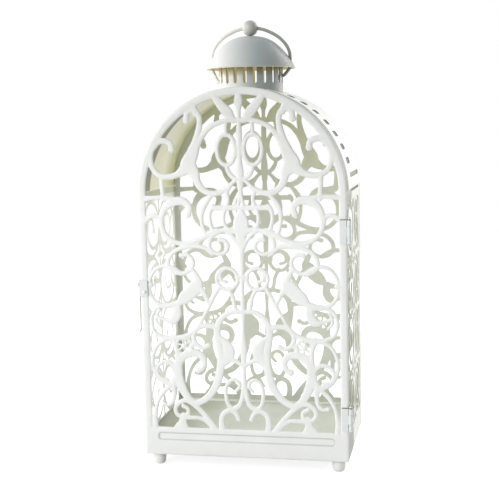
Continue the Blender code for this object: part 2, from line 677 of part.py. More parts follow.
marks = []
for side in (-1, 1):
    for k in range(1, 10):
        if HALF * math.sin(math.radians(OVAL_PITCH * k)) - OVAL_L / 2 > COLLAR_R + 1:
            marks.append(mark(side * OVAL_PITCH * k, OVAL_L, OVAL_FROM, OVAL_TO, 2.6))
    marks.append(mark(side * EAVE_ANGLE, EAVE_W, EAVE_FROM, EAVE_TO, 2.0))
FLUE_R = COLLAR_R - 6
marks.append(lathe([(0, Z0 + DOOR_H - 20), (FLUE_R, Z0 + DOOR_H - 20), (FLUE_R, Z0 + DOOR_H + 10),
                    (0, Z0 + DOOR_H + 10)], 40))
cut(vault, merge(marks), "cut_vault")

# Dome: spun shell with a flared rim, bored for the ball's stem and for the bail
DOME_T = 1.0
rim_z = Z0 + RIM_Z
top_z = rim_z + DOME_RISE
STEM_R = 1.5
wide, tall = RIM_R / 45, DOME_RISE / 32.5
dome_outer = [(r * wide, rim_z + z * tall)
              for r, z in ((45, 0), (43.8, 2), (42.2, 5.2), (39.2, 10.2), (35.2, 15.6), (30.2, 20.8), (25.2, 25.2),
                           (19, 28.9), (12, 31.3), (6, 32.2))] + [(STEM_R + 0.5, top_z)]
dome_inner = []
for i, (r, z) in enumerate(dome_outer):
    a = dome_outer[max(i - 1, 0)]
    b = dome_outer[min(i + 1, len(dome_outer) - 1)]
    d = math.hypot(b[0] - a[0], b[1] - a[1])
    dome_inner.append((r - (b[1] - a[1]) / d * DOME_T, z + (b[0] - a[0]) / d * DOME_T))
dome_inner[0] = (RIM_R - 1.2, rim_z)
dome_inner[-1] = (STEM_R + 0.5, top_z - DOME_T)
dome = finish("dome", lathe(dome_outer + dome_inner[::-1], 32), smooth=40)


def dome_under(r):
    """Height of the dome's inside at a radius."""
    for (r0, z0), (r1, z1) in zip(dome_inner, dome_inner[1:]):
        if r1 <= r <= r0:
            return z0 + (r - r0) / (r1 - r0) * (z1 - z0)
    return top_z


# Collar: slotted tube standing on the vault, under the dome
hook_z = rim_z - 13.0
collar_top = dome_under(COLLAR_R) - GAP
collar_low = Z0 + SPRING + math.sqrt(HALF ** 2 - COLLAR_R ** 2) - 3.2
profile = [(COLLAR_R, collar_low), (COLLAR_R, collar_top), (COLLAR_R - COLLAR_T, collar_top),
           (COLLAR_R - COLLAR_T, collar_low)]
collar = finish("collar", lathe(profile, 40), smooth=40)
cut(collar, lathe([(0, YF), (HALF + GAP, YF), (HALF + GAP, YB), (0, YB)], 96, (0, 0, Z0 + SPRING), "y"),
    "cut_collar_saddle")
FINS = 20
FIN_SLOT_W = 2 * WIRE_R + 2 * GAP
SLOT_LOW = hook_z - WIRE_R - GAP
SLOT_HIGH = collar_top - 7.5
cuts = []
for k in range(FINS):
    a = 2 * math.pi * k / FINS
    b = box(COLLAR_R - 4, -FIN_SLOT_W / 2, SLOT_LOW, COLLAR_R + 4, FIN_SLOT_W / 2, SLOT_HIGH)
    bmesh.ops.rotate(b, cent=(0, 0, 0), matrix=Matrix.Rotation(a, 3, "Z"), verts=b.verts[:])
    cuts.append(b)
cut(collar, merge(cuts), "cut_collar_slots")

# Ball with its threaded stem, and the nut inside the dome
BORE_R = WIRE_R + 0.7
ball_low = top_z + GAP
ball_z = ball_low + BALL_R - 0.4
ball = [(0, top_z - 9.0), (STEM_R, top_z - 9.0), (STEM_R, ball_low)]
low = math.asin((ball_z - ball_low) / BALL_R)
for k in range(9):
    a = -low + (math.pi / 2 + low) * k / 8
    ball.append((BALL_R * math.cos(a), ball_z + BALL_R * math.sin(a)))
ball[-1] = (0, ball_z + BALL_R)
finial = finish("finial_ball", lathe(ball, 20), smooth=40)
cut(finial, lathe([(0, -20), (BORE_R, -20), (BORE_R, 20), (0, 20)], 20, (0, 0, ball_z), "x"), "cut_ball_bore")
nut_top = top_z - DOME_T - GAP
nut = [(STEM_R + GAP, nut_top - 3.0), (STEM_R + GAP, nut_top), (3.8, nut_top), (3.8, nut_top - 3.0)]
finish("finial_nut", lathe(nut, 6), BARE, 0.35, 0.9)

# Bail: wire threaded through the ball, down through the dome's rim, its ends
# bent inwards through two of the collar's slots
def half_bail(low):
    """Radius and height along one half of the bail, from its end at height low up to the ball."""
    reach = 39.5 * wide - COLLAR_R - 1.2
    drop = rim_z - low
    pts = [(COLLAR_R - 5, low - 4.2), (COLLAR_R - 4.5, low - 1.4), (COLLAR_R - 2.6, low)]
    pts += [(COLLAR_R + 1.2 + reach * s, low + drop * t) for s, t in ((0, 0.03), (0.4, 0.34), (0.74, 0.69))]
    pts += [(r * wide, rim_z + z * tall)
            for r, z in ((39.5, 0), (40, 3.2), (40.1, 7.2), (40.1, 11.5), (39.5, 15.8), (38, 19.8), (35.8, 23.4),
                         (32.8, 27), (29, 30.4), (24.6, 33.4), (19.6, 36), (14.4, 38.2))]
    return curve(pts + [(9.0, ball_z - 0.6), (4.5, ball_z - 0.05), (0, ball_z)], 6.0)


wire = [(-u, 0, v) for u, v in half_bail(hook_z)]
wire += [(u, 0, v) for u, v in reversed(half_bail(hook_z + BAIL_STEP)[:-1])]
finish("bail", tube(wire, WIRE_R, 8), smooth=50)
cuts = []
for sx in (-1, 1):
    cuts.append(lathe([(0, rim_z - 3), (BORE_R, rim_z - 3), (BORE_R, rim_z + 14), (0, rim_z + 14)], 20,
                      (sx * 40.1 * wide, 0, 0)))
cut(dome, merge(cuts), "cut_dome_holes")

# Hinges on the door's right edge: the door leaf holds the middle knuckle
KNUCKLE_R = 2.0
PIN_R = 0.9
PIN_HEAD = 1.7
LEAF_W = 6.4
LEAF_T = 0.9
AXIS_X = HALF + GAP + KNUCKLE_R
AXIS_Y = YF - GAP - LEAF_T / 2 - 0.15
HINGES = (("upper", SPRING - 47.6, SPRING - 24.1), ("lower", RAIL_H + 2.5, RAIL_H + 26))
door_axis = axis_empty("door_axis", (AXIS_X, AXIS_Y, Z0))


def joined(name, parts, hole, carrier=None):
    """One solid out of overlapping pieces, with a bore."""
    ob = finish(name, parts[0], smooth=30, carrier=carrier)
    for i, b in enumerate(parts[1:]):
        me = bpy.data.meshes.new(name + "_add" + str(i))
        bmesh.ops.recalc_face_normals(b, faces=b.faces[:])
        b.to_mesh(me)
        b.free()
        c = bpy.data.objects.new(name + "_add" + str(i), me)
        bpy.context.scene.collection.objects.link(c)
        c.hide_render = True
        c.display_type = "WIRE"
        m = ob.modifiers.new("add" + str(i), "BOOLEAN")
        m.operation = "UNION"
        m.solver = "EXACT"
        m.object = c
    cut(ob, hole, name + "_bore")


def knuckle(low, high):
    return lathe([(0, low), (KNUCKLE_R, low), (KNUCKLE_R, high), (0, high)], 12, (AXIS_X, AXIS_Y, 0))


for tag, z0, z1 in HINGES:
    h = z1 - z0
    k1, k2 = Z0 + z0 + h * 0.3, Z0 + z0 + h * 0.7
    z0, z1 = Z0 + z0, Z0 + z1
    bore = [(0, z0 - 3), (PIN_R + GAP, z0 - 3), (PIN_R + GAP, z1 + 3), (0, z1 + 3)]
    at = (AXIS_X, AXIS_Y, 0)
    plate_y = YF - GAP - LEAF_T
    joined("hinge_door_leaf_" + tag,
           [box(HALF - LEAF_W, plate_y, z0, HALF - 0.2, YF - GAP, z1),
            box(HALF - 1.0, plate_y + 0.02, k1 + 0.15, AXIS_X, YF - GAP - 0.02, k2 - 0.15),
            knuckle(k1 + 0.15, k2 - 0.15)], lathe(bore, 12, at), door_axis)
    wall_x = HALF + GAP
    joined("hinge_body_leaf_" + tag,
           [box(wall_x, BODY_YF, z0, wall_x + LEAF_T, YF + 13, z1),
            box(wall_x + 0.02, AXIS_Y, z0 + 0.02, wall_x + LEAF_T - 0.02, BODY_YF + 1, k1 - 0.15),
            box(wall_x + 0.02, AXIS_Y, k2 + 0.15, wall_x + LEAF_T - 0.02, BODY_YF + 1, z1 - 0.02),
            knuckle(z0, k1 - 0.15), knuckle(k2 + 0.15, z1)], lathe(bore, 12, at))
    pin = [(0, z0 - 1.1), (PIN_HEAD, z0 - 1.1), (PIN_HEAD, z0 - GAP), (PIN_R, z0 - GAP), (PIN_R, z1 + GAP),
           (PIN_HEAD, z1 + GAP), (PIN_HEAD - 0.3, z1 + 1.4), (0, z1 + 1.7)]
    finish("hinge_pin_" + tag, lathe(pin, 12, at), BARE, 0.35, 0.9, smooth=35)

# Latch on the door's left edge: an angle, its rivet, and a hook that hangs from a pivot
LATCH_Z0 = SPRING - 100.1
LATCH_Z1 = LATCH_Z0 + 16
PIVOT_Y = YF + 3.0
PIVOT_Z = LATCH_Z0 + 11.5
EAR_X = -HALF - 0.4
RIVET_Z = LATCH_Z0 + 4.5
RIVET_X = -HALF + 4.0
angle = [(-HALF + 7.0, YF - GAP - LEAF_T), (-HALF + 7.0, YF - GAP), (EAR_X, YF - GAP), (EAR_X, YF + 6.5),
         (EAR_X - LEAF_T, YF + 6.5), (EAR_X - LEAF_T, YF - GAP - LEAF_T)]
bm = prism(angle, lambda u, v, w: (u, v, Z0 + LATCH_Z0 + w), LATCH_Z1 - LATCH_Z0)
bracket = finish("latch_angle", bm, carrier=door_axis)
RIVET_R = 1.0
rivet_hole = [(0, YF - 5), (RIVET_R + GAP, YF - 5), (RIVET_R + GAP, YF + 5), (0, YF + 5)]
pivot_hole = [(0, -4), (RIVET_R + GAP, -4), (RIVET_R + GAP, 4), (0, 4)]
cut(bracket, merge([lathe(rivet_hole, 16, (RIVET_X, 0, Z0 + RIVET_Z), "y"),
                    lathe(pivot_hole, 16, (EAR_X - 0.5, PIVOT_Y, Z0 + PIVOT_Z), "x")]), "cut_latch_angle")
face = YF - GAP - LEAF_T - GAP
rivet = [(0, face - 1.1), (0.9, face - 1.0), (1.8, face), (RIVET_R, face), (RIVET_R, YF + PANEL), (0, YF + PANEL)]
finish("latch_rivet", lathe(rivet, 12, (RIVET_X, 0, Z0 + RIVET_Z), "y"), BARE, 0.4, 0.9, 40, door_axis)

HOOK_W = 2.8
hook_x = EAR_X - LEAF_T - GAP
hook_axis = axis_empty("hook_axis", (hook_x, PIVOT_Y, Z0 + PIVOT_Z), door_axis)
TOE_Z = PIVOT_Z - 46.6
hook = [disc((PIVOT_Y, PIVOT_Z), 3.0, 14)]
hook += stroke([(PIVOT_Y, PIVOT_Z), (PIVOT_Y, PIVOT_Z - 22), (PIVOT_Y, TOE_Z + 5.1)], HOOK_W)
hook += stroke([(PIVOT_Y, TOE_Z + 5.6), (PIVOT_Y, TOE_Z + 2.6), (PIVOT_Y - 1.2, TOE_Z + 0.5),
                (PIVOT_Y - 3.2, TOE_Z), (PIVOT_Y - 5.4, TOE_Z)], HOOK_W, HOOK_W, HOOK_W - 0.4)
latch = finish("latch_hook", slab(hook, lambda u, v, w: (hook_x - w, u, Z0 + v), LEAF_T, 0.1), BARE,
               0.4, 0.9, None, hook_axis)
cut(latch, lathe(pivot_hole, 16, (hook_x, PIVOT_Y, Z0 + PIVOT_Z), "x"), "cut_latch_hook")
x_in = EAR_X
x_out = hook_x - LEAF_T - GAP
pivot = [(0, x_in), (RIVET_R, x_in), (RIVET_R, x_out), (2.0, x_out), (1.6, x_out - 0.8), (0, x_out - 1.0)]
finish("latch_pivot", lathe(pivot, 12, (0, PIVOT_Y, Z0 + PIVOT_Z), "x"), BARE, 0.4, 0.9, 40, door_axis)

# Stud in the left wall that the hook drops over when it has been swung round
STUD_R = 1.3
drop_y = HOOK_W / 2 + GAP + STUD_R
drop_z = PIVOT_Z - TOE_Z - HOOK_W / 2 + 0.2 - GAP - STUD_R
stud_y = PIVOT_Y + drop_z
stud_z = PIVOT_Z - drop_y
x0 = -HALF + SHEET
stud = [(0, x0 + 0.5), (STUD_R, x0 + 0.5), (STUD_R, x_out), (2.4, x_out), (2.0, x_out - 0.8), (0, x_out - 1.0)]
finish("latch_stud", lathe(stud, 12, (0, stud_y, Z0 + stud_z), "x"), BARE, 0.4, 0.9, smooth=40)

# Side walls, drawn with u along the depth and v up
SIDE_TOP = SPRING + 1.4
side_half = -BODY_YF
side_high = SIDE_TOP - TOP_BAND
frame_in = side_half - SIDE_EDGE
STEP = 2.4              # height of the long step along a side wall's top edge, as deep as the roof's marks
STEP_FROM = EAVE_FROM
STEP_TO = EAVE_TO - 2


def side_wall(name, x_face, sign, extra):
    polys = [rect(-side_half, 0, side_half, SIDE_BAND), rect(-side_half, side_high, side_half, SIDE_TOP),
             rect(-side_half, 0, -frame_in, SIDE_TOP), rect(frame_in, 0, side_half, SIDE_TOP)]
    polys += side_scrollwork(frame_in, SIDE_BAND, side_high) + extra
    bm = slab(polys, lambda u, v, w: (x_face + sign * w, u, Z0 + v), SHEET, SIDE_FIT)
    ob = finish(name, bm)
    cut(ob, box(x_face - PRESS, STEP_FROM, Z0 + SIDE_TOP - STEP, x_face + PRESS, STEP_TO, Z0 + SIDE_TOP + 1),
        "cut_step_" + name)
    return ob


pad = [disc((stud_y, stud_z), 5.5)] + stroke([(stud_y, stud_z), (-1.5, stud_z - 3.0)], 6, 5)
left = side_wall("side_wall_left", -HALF, 1, pad)
cut(left, lathe([(0, -5), (STUD_R + GAP, -5), (STUD_R + GAP, 5), (0, 5)], 16, (-HALF, stud_y, Z0 + stud_z), "x"),
    "cut_stud_hole")
side_wall("side_wall_right", HALF, -1, [])

# Back panel and door: the same scrollwork; the door's rail has a long bead
bm = slab(arch_frame() + arched_scrollwork(), lambda u, v, w: (u, YB - w, Z0 + v), PANEL, BACK_FIT)
finish("back_panel", bm)
BEAD_L = HALF - 13      # half the bead's length
BEAD_Z = RAIL_H - 13.5
BEAD_W = 8.4
BEAD_SLOPE = 1.6
bead_out = rounded_bar(-BEAD_L, BEAD_Z, BEAD_L, BEAD_Z + BEAD_W, 3.4)
bead_in = rounded_bar(-BEAD_L + BEAD_SLOPE, BEAD_Z + BEAD_SLOPE, BEAD_L - BEAD_SLOPE,
                      BEAD_Z + BEAD_W - BEAD_SLOPE, 1.8)


def bead(u, v):
    inner = BEAD_SLOPE - 0.1
    return BEAD_DEPTH if abs(u) < BEAD_L - inner and inner < v - BEAD_Z < BEAD_W - inner else 0.0


bm = slab(arch_frame() + arched_scrollwork(), lambda u, v, w: (u, YF + w, Z0 + v), PANEL, DOOR_FIT,
          (bead_out, bead_in), bead)
door = finish("door_panel", bm, carrier=door_axis)
cut(door, lathe(rivet_hole, 16, (RIVET_X, 0, Z0 + RIVET_Z), "y"), "cut_door_rivet")
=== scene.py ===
# Looks for the arched scrollwork lantern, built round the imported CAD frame.
# Metres, +Z up, the door faces -Y. Sizes are written in millimetres.

import math

import bmesh
import bpy
import numpy as np
from mathutils import Matrix, Vector
from mathutils.geometry import delaunay_2d_cdt


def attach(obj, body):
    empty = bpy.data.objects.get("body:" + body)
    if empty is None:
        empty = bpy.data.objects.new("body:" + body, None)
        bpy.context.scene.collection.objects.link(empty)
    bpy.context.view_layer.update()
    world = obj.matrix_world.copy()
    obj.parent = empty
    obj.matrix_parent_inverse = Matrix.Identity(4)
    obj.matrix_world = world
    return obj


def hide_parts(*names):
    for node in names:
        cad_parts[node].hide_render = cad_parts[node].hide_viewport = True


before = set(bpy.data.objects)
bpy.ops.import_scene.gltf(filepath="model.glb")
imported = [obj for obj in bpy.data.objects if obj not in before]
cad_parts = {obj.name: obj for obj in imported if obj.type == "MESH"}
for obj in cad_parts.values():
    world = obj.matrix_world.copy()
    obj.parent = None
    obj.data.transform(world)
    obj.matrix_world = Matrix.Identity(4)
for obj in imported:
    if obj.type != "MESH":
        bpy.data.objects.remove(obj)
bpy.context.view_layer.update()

MM = 0.001
TINY = 1e-6

# Sizes that the looks share with the CAD model, mm
BODY_W = 204.0
BODY_D = 133.0
DOOR_H = 362.6
Z0 = 12.0
FRAME_T = 7.4
RAIL_H = 28.5
SHEET = 1.2
PANEL = 1.5
SIDE_BAND = 22.0
TOP_BAND = 11.0
SIDE_EDGE = 8.0
SIDE_ROWS = 4
FLOOR_Z = 20.5
COLLAR_R = 32.0
COLLAR_T = 1.2
RIM_R = 45.0
RIM_Z = 381.9
HOOK_DROP = 13.0
DOME_RISE = 32.5
BALL_R = 7.8
WIRE_R = 1.6
BAIL_STEP = 5.5
GAP = 0.3
BEAD_DEPTH = 0.8

HALF = BODY_W / 2
SPRING = DOOR_H - HALF
YF = -BODY_D / 2
YB = BODY_D / 2
BODY_YF = YF + PANEL + GAP
BODY_YB = YB - PANEL - GAP
SIDE_TOP = SPRING + 1.4
rim_z = Z0 + RIM_Z
top_z = rim_z + DOME_RISE
hook_z = rim_z - HOOK_DROP
crown_z = Z0 + SPRING   # centre of the arches and of the roof


def placed(name, data):
    """A new object of the scene with this data."""
    ob = bpy.data.objects.new(name, data)
    bpy.context.scene.collection.objects.link(ob)
    return ob


# Camera at the photograph's place, angles in radians

PHOTO_PX = 499
FOCAL_PX = 1037.94
SENSOR = 36.0
CAMERA_AT = (203.34, -1037.27, 341.24)
YAW, PITCH, ROLL = 0.1984, -0.1223, -0.0207


def camera():
    at = Vector(CAMERA_AT) * MM
    ahead = Vector((-math.sin(YAW) * math.cos(PITCH), math.cos(YAW) * math.cos(PITCH), math.sin(PITCH)))
    level = Vector((math.cos(YAW), math.sin(YAW), 0))
    above = level.cross(ahead)
    right = level * math.cos(ROLL) + above * math.sin(ROLL)
    up = above * math.cos(ROLL) - level * math.sin(ROLL)
    cam = bpy.data.cameras.new("camera")
    cam.sensor_width = SENSOR
    cam.lens = FOCAL_PX / PHOTO_PX * SENSOR
    ob = placed("camera", cam)
    ob.matrix_world = Matrix([(right[i], up[i], -ahead[i], at[i]) for i in range(3)] + [(0, 0, 0, 1)])
    bpy.context.scene.camera = ob


camera()


# Materials

def nodes_of(name):
    m = bpy.data.materials.new(name)
    m.use_nodes = True
    nt = m.node_tree
    return m, nt, nt.nodes["Principled BSDF"]


def feed(nt, n, inputs):
    """Gives each named socket its value, or links it to the output that feeds it."""
    for key, value in inputs.items():
        if isinstance(value, bpy.types.NodeSocket):
            nt.links.new(value, n.inputs[key])
        else:
            n.inputs[key].default_value = value


def node(nt, kind, inputs=None, operation=None, blend=None):
    """A new shader node with its sockets fed."""
    n = nt.nodes.new("ShaderNode" + kind)
    if operation:
        n.operation = operation
    if kind == "Mix":
        n.data_type = "RGBA"
    if blend:
        n.blend_type = blend
    feed(nt, n, inputs or {})
    return n


def ramp(nt, fac, stops):
    r = node(nt, "ValToRGB", {"Fac": fac})
    while len(r.color_ramp.elements) < len(stops):
        r.color_ramp.elements.new(0.5)
    for e, (pos, col) in zip(r.color_ramp.elements, stops):
        e.position = pos
        e.color = (col[0], col[1], col[2], 1)
    return r.outputs["Color"]


def noise(nt, coord, scale, detail=3.0, rough=0.5):
    settings = {"Scale": scale, "Detail": detail, "Roughness": rough, "Vector": coord}
    return node(nt, "TexNoise", settings).outputs["Fac"]


def bump(nt, height, strength, distance, under=None):
    """Normals of a fine height pattern, on top of the normals under it."""
    n = node(nt, "Bump", {"Strength": strength, "Distance": distance, "Height": height})
    if under:
        feed(nt, n, {"Normal": under})
    return n.outputs["Normal"]


def grey(v):
    return (v, v, v)


def coat(name, base, dusty, rough=0.42, bands=()):
    """Powder coat: soft tone changes, orange peel, slight dust in the lows.

    bands lists ([(place in mm, tone), ...], direction) for a coat that changes along a direction; the bands paint
    shade and light into the tone."""
    m, nt, b = nodes_of(name)
    co = node(nt, "TexCoord").outputs["Object"]
    tone = ramp(nt, noise(nt, co, 38.0, 4.0, 0.6), ((0.30, dusty), (0.62, base)))
    # Painted shade and light: each band multiplies the tone along its direction
    for stops, along in bands:
        low, high = stops[0][0] - 1, stops[-1][0] + 1
        dot = node(nt, "VectorMath", {1: along, 0: co}, "DOT_PRODUCT")
        place = node(nt, "MapRange", {"From Min": low * MM, "From Max": high * MM, "Value": dot.outputs["Value"]})
        change = ramp(nt, place.outputs["Result"], [((d - low) / (high - low), c) for d, c in stops])
        tone = node(nt, "Mix", {"Factor": 1.0, "A": tone, "B": change}, blend="MULTIPLY").outputs["Result"]
    chip = ramp(nt, noise(nt, co, 520.0, 2.0, 0.7), ((0.735, grey(0.0)), (0.76, grey(1.0))))
    speck = (dusty[0] * 0.86, dusty[1] * 0.84, dusty[2] * 0.78, 1)
    colour = node(nt, "Mix", {"Factor": chip, "A": tone, "B": speck}).outputs["Result"]
    gloss = ramp(nt, noise(nt, co, 160.0, 3.0), ((0.3, grey(rough - 0.06)), (0.7, grey(rough + 0.08))))
    peel = bump(nt, noise(nt, co, 900.0, 2.0), 0.25, 0.00012)
    sag = bump(nt, noise(nt, co, 130.0, 2.0), 0.35, 0.0006, peel)
    feed(nt, b, {"Base Color": colour, "Roughness": gloss, "Normal": sag, "Specular IOR Level": 0.4})
    return m


def metal(name, base, dark, rough=0.34):
    """Zinc-plated or lacquered metal with fine drawing marks."""
    m, nt, b = nodes_of(name)
    co = node(nt, "TexCoord").outputs["Object"]
    tone = ramp(nt, noise(nt, co, 300.0, 4.0, 0.65), ((0.3, dark), (0.7, base)))
    gloss = ramp(nt, noise(nt, co, 900.0, 3.0), ((0.3, grey(rough - 0.08)), (0.7, grey(rough + 0.12))))
    marks = bump(nt, noise(nt, co, 1500.0, 2.0), 0.2, 0.0001)
    feed(nt, b, {"Base Color": tone, "Roughness": gloss, "Normal": marks, "Metallic": 0.9})
    return m


# Coats: base tone, tone in the lows, gloss, and how the tone changes along the piece.
# The bands follow the shading in the photograph; PLAIN leaves the coat as it is.

PLAIN = (1, 1, 1)
X, Y, Z = (1, 0, 0), (0, 1, 0), (0, 0, 1)
FRESH, WORN = (0.84, 0.84, 0.825), (0.805, 0.805, 0.78)
WHITE = coat("white_coat", FRESH, WORN)
# Painted shade: the door's tone darkens towards the top of the arch
DOOR = coat("door_coat", FRESH, WORN, 0.42,
            [([(crown_z - 12, PLAIN), (crown_z + 30, (0.91, 0.91, 0.90)),
               (crown_z + 76, (0.83, 0.83, 0.82)), (Z0 + DOOR_H, (0.83, 0.83, 0.82))], Z)])
# Painted shade and light: the back's inner face is olive and darker, darkest from just above the floor to above the
# rail, with a bright strip left at the floor line as a painted highlight
BACK_IN = coat("back_inside", (0.92, 0.93, 0.88), (0.87, 0.88, 0.82), 0.5,
               [([(Z0 + FLOOR_Z + 1.8, PLAIN), (Z0 + FLOOR_Z + 2.5, (0.66, 0.67, 0.62)),
                  (Z0 + RAIL_H + 2, (0.66, 0.67, 0.62)), (Z0 + RAIL_H + 16, (0.78, 0.79, 0.74)),
                  (crown_z, (0.78, 0.79, 0.73)), (crown_z + 60, (0.80, 0.81, 0.68))], Z)])
# Painted shade: the tray's top is darker olive and darkens further towards the left
TRAY_IN = coat("tray_inside_coat", (0.74, 0.755, 0.69), (0.69, 0.71, 0.64), 0.5,
               [([(-96, (0.50, 0.50, 0.42)), (-66, (0.70, 0.71, 0.64)), (-30, PLAIN)], X)])
# Painted shade: the walls' inner faces go dark olive along their top strip under the roof
WALL_IN = coat("wall_inside", (0.90, 0.90, 0.87), (0.86, 0.86, 0.82), 0.45,
               [([(Z0 + SIDE_TOP - 8, PLAIN), (Z0 + SIDE_TOP - 6, (0.62, 0.64, 0.50))], Z)])
# Painted shade: the right wall's cut edges are dark brown-grey
EDGE = coat("wall_edges", (0.52, 0.52, 0.45), (0.30, 0.29, 0.23), 0.6)
# Painted shade: the slopes of the rail's pressed bead are darker grey
LINE = coat("bead_line", (0.62, 0.63, 0.62), (0.58, 0.59, 0.57), 0.5)
# Painted shade: the floors of the roof's pressed ovals are near-black
MARK = coat("mark_coat", (0.19, 0.20, 0.17), (0.15, 0.16, 0.13), 0.6)
# Painted shade: the long marks along the roof's eaves are dark grey
EAVE = coat("eave_coat", (0.36, 0.33, 0.30), (0.30, 0.27, 0.25), 0.6)
# Painted shade: near-black in the pressed step along the side walls' tops and in the hinges' grooves
GROOVE_SHADE = coat("groove_shade_coat", (0.22, 0.21, 0.17), (0.18, 0.17, 0.13), 0.6)
# Painted shade and warm bounce light: the roof's inside is cream-olive, dark over its front part behind the door's
# frame, and darkens along a direction that leans down towards the back
LEAN = 0.14
LOW = LEAN * crown_z
ROOF_IN = coat("roof_inside", (0.97, 0.95, 0.81), (0.92, 0.88, 0.70), 0.5,
               [([(YF + 36 - LOW, (0.34, 0.34, 0.30)), (YF + 38.5 - LOW, PLAIN), (14 - LOW, PLAIN),
                  (36 - LOW, (0.66, 0.68, 0.50)), (YB - LOW, (0.56, 0.58, 0.40))], (0, 1, -LEAN))])
# Painted shade: the roof's outside is dark along its front edge beside the door
ROOF_OUT = coat("roof_coat", (0.90, 0.90, 0.88), (0.87, 0.87, 0.84), 0.42,
                [([(YF + 19, (0.24, 0.25, 0.22)), (YF + 24, PLAIN)], Y)])
# Painted shade: the side walls' outsides are dark over their front part next to the door
SIDE = coat("side_coat", (0.88, 0.87, 0.83), (0.85, 0.84, 0.79), 0.42,
            [([(YF + 46, (0.40, 0.40, 0.36)), (YF + 52, PLAIN)], Y)])
# Painted shade: the bail and the ball darken from left to right
WIRE = coat("wire_coat", (0.80, 0.80, 0.74), (0.74, 0.74, 0.68), 0.36,
            [([(-42, PLAIN), (-26, (0.88, 0.88, 0.86)), (-7, (0.82, 0.82, 0.82)), (1, (0.58, 0.58, 0.58)),
               (8, (0.40, 0.40, 0.40)), (42, (0.36, 0.37, 0.35))], X)])
# Painted shade: cap and collar darken from left to right
SHADE_LEFT_TO_RIGHT = [(-44, PLAIN), (-26, (0.90, 0.90, 0.90)), (-6, (0.66, 0.68, 0.68)), (14, (0.42, 0.46, 0.47)),
          (44, (0.31, 0.33, 0.33))]
TOP_FRESH, TOP_WORN = (0.82, 0.82, 0.80), (0.79, 0.79, 0.765)
CAP = coat("cap_coat", TOP_FRESH, TOP_WORN, 0.40, [(SHADE_LEFT_TO_RIGHT, X)])
# Painted shade and painted warm reflection: the collar turns brownish gold just under the rim
COLLAR = coat("collar_coat", TOP_FRESH, TOP_WORN, 0.40,
              [(SHADE_LEFT_TO_RIGHT, X), ([(rim_z - 8.5, PLAIN), (rim_z - 5.5, (0.84, 0.76, 0.52)),
                              (rim_z - 0.5, (0.62, 0.50, 0.28))], Z)])
# Painted warm reflected light: the cap's underside and rim and the collar's inside and slot walls are yellow-gold
WARM_BOUNCE = coat("warm_inside", (0.97, 0.90, 0.64), (0.84, 0.74, 0.42), 0.4)
HINGE = coat("hinge_coat", (0.75, 0.77, 0.76), (0.72, 0.74, 0.73), 0.4)
PALE = coat("pale_plating", (0.82, 0.82, 0.80), (0.77, 0.77, 0.74), 0.32)
STEEL = metal("bare_steel", (0.62, 0.61, 0.57), (0.42, 0.41, 0.37))


# Putting pieces in the scene

def meshed(name, bm):
    """Mesh data of a bmesh, which is freed."""
    me = bpy.data.meshes.new(name)
    bm.to_mesh(me)
    bm.free()
    return me


def piece(name, bm, body, nodes, mats, smooth=35, pick=None):
    """A finished piece: rides on a body and stands for CAD nodes. pick gives a face's material."""
    bmesh.ops.recalc_face_normals(bm, faces=bm.faces[:])
    bm.normal_update()
    if pick:
        for f in bm.faces:
            f.material_index = pick(f)
    me = meshed(name, bm)
    ob = placed(name, me)
    for m in mats:
        me.materials.append(m)
    me.polygons.foreach_set("use_smooth", [True] * len(me.polygons))
    me.set_sharp_from_angle(angle=math.radians(smooth))
    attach(ob, body)
    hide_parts(*nodes)
    return ob


def boolean(ob, bm, name, operation="DIFFERENCE", slot=0):
    """Cuts bm from the piece, or joins it; the new faces take the material in slot."""
    bmesh.ops.recalc_face_normals(bm, faces=bm.faces[:])
    for f in bm.faces:
        f.material_index = slot
    c = placed(name, meshed(name, bm))
    m = ob.modifiers.new(name, "BOOLEAN")
    m.operation = operation
    m.solver = "EXACT"
    m.object = c
    bpy.context.view_layer.update()
    dg = bpy.context.evaluated_depsgraph_get()
    new = bpy.data.meshes.new_from_object(ob.evaluated_get(dg))
    ob.modifiers.clear()
    ob.data = new
    bpy.data.objects.remove(c, do_unlink=True)


def bevel(ob, width, segments=2, angle=35):
    m = ob.modifiers.new("bevel", "BEVEL")
    m.width = width * MM
    m.segments = segments
    m.limit_method = "ANGLE"
    m.angle_limit = math.radians(angle)
    m.harden_normals = True


def lathe(profile, segments, centre=(0, 0, 0), axis="z"):
    """Turned solid: the closed profile lists (radius, height) in mm."""
    bm = bmesh.new()
    rings = []
    for r, h in profile:
        if r < TINY:
            rings.append([bm.verts.new((0, 0, h * MM))])
        else:
            rings.append([bm.verts.new((r * math.cos(2 * math.pi * k / segments) * MM,
                                        r * math.sin(2 * math.pi * k / segments) * MM, h * MM))
                          for k in range(segments)])
    n = len(rings)
    for i in range(n):
        a, b = rings[i], rings[(i + 1) % n]
        if len(a) == 1 and len(b) == 1:
            continue
        for k in range(segments):
            corners = (a[k % len(a)], b[k % len(b)], b[(k + 1) % len(b)], a[(k + 1) % len(a)])
            bm.faces.new(list(dict.fromkeys(corners)))
    turn = Matrix.Identity(4)
    if axis == "x":
        turn = Matrix.Rotation(math.pi / 2, 4, "Y")
    if axis == "y":
        turn = Matrix.Rotation(-math.pi / 2, 4, "X")
    bmesh.ops.transform(bm, matrix=Matrix.Translation(Vector(centre) * MM) @ turn, verts=bm.verts[:])
    return bm


def rod(r, a, b, segments, centre=(0, 0, 0), axis="z"):
    """Cylinder from a to b along its axis."""
    return lathe([(0, a), (r, a), (r, b), (0, b)], segments, centre, axis)


def box(x0, y0, z0, x1, y1, z1):
    bm = bmesh.new()
    bmesh.ops.create_cube(bm, size=1.0)
    for v in bm.verts:
        v.co = Vector(((x0 + x1) / 2 + v.co.x * (x1 - x0), (y0 + y1) / 2 + v.co.y * (y1 - y0),
                       (z0 + z1) / 2 + v.co.z * (z1 - z0))) * MM
    return bm


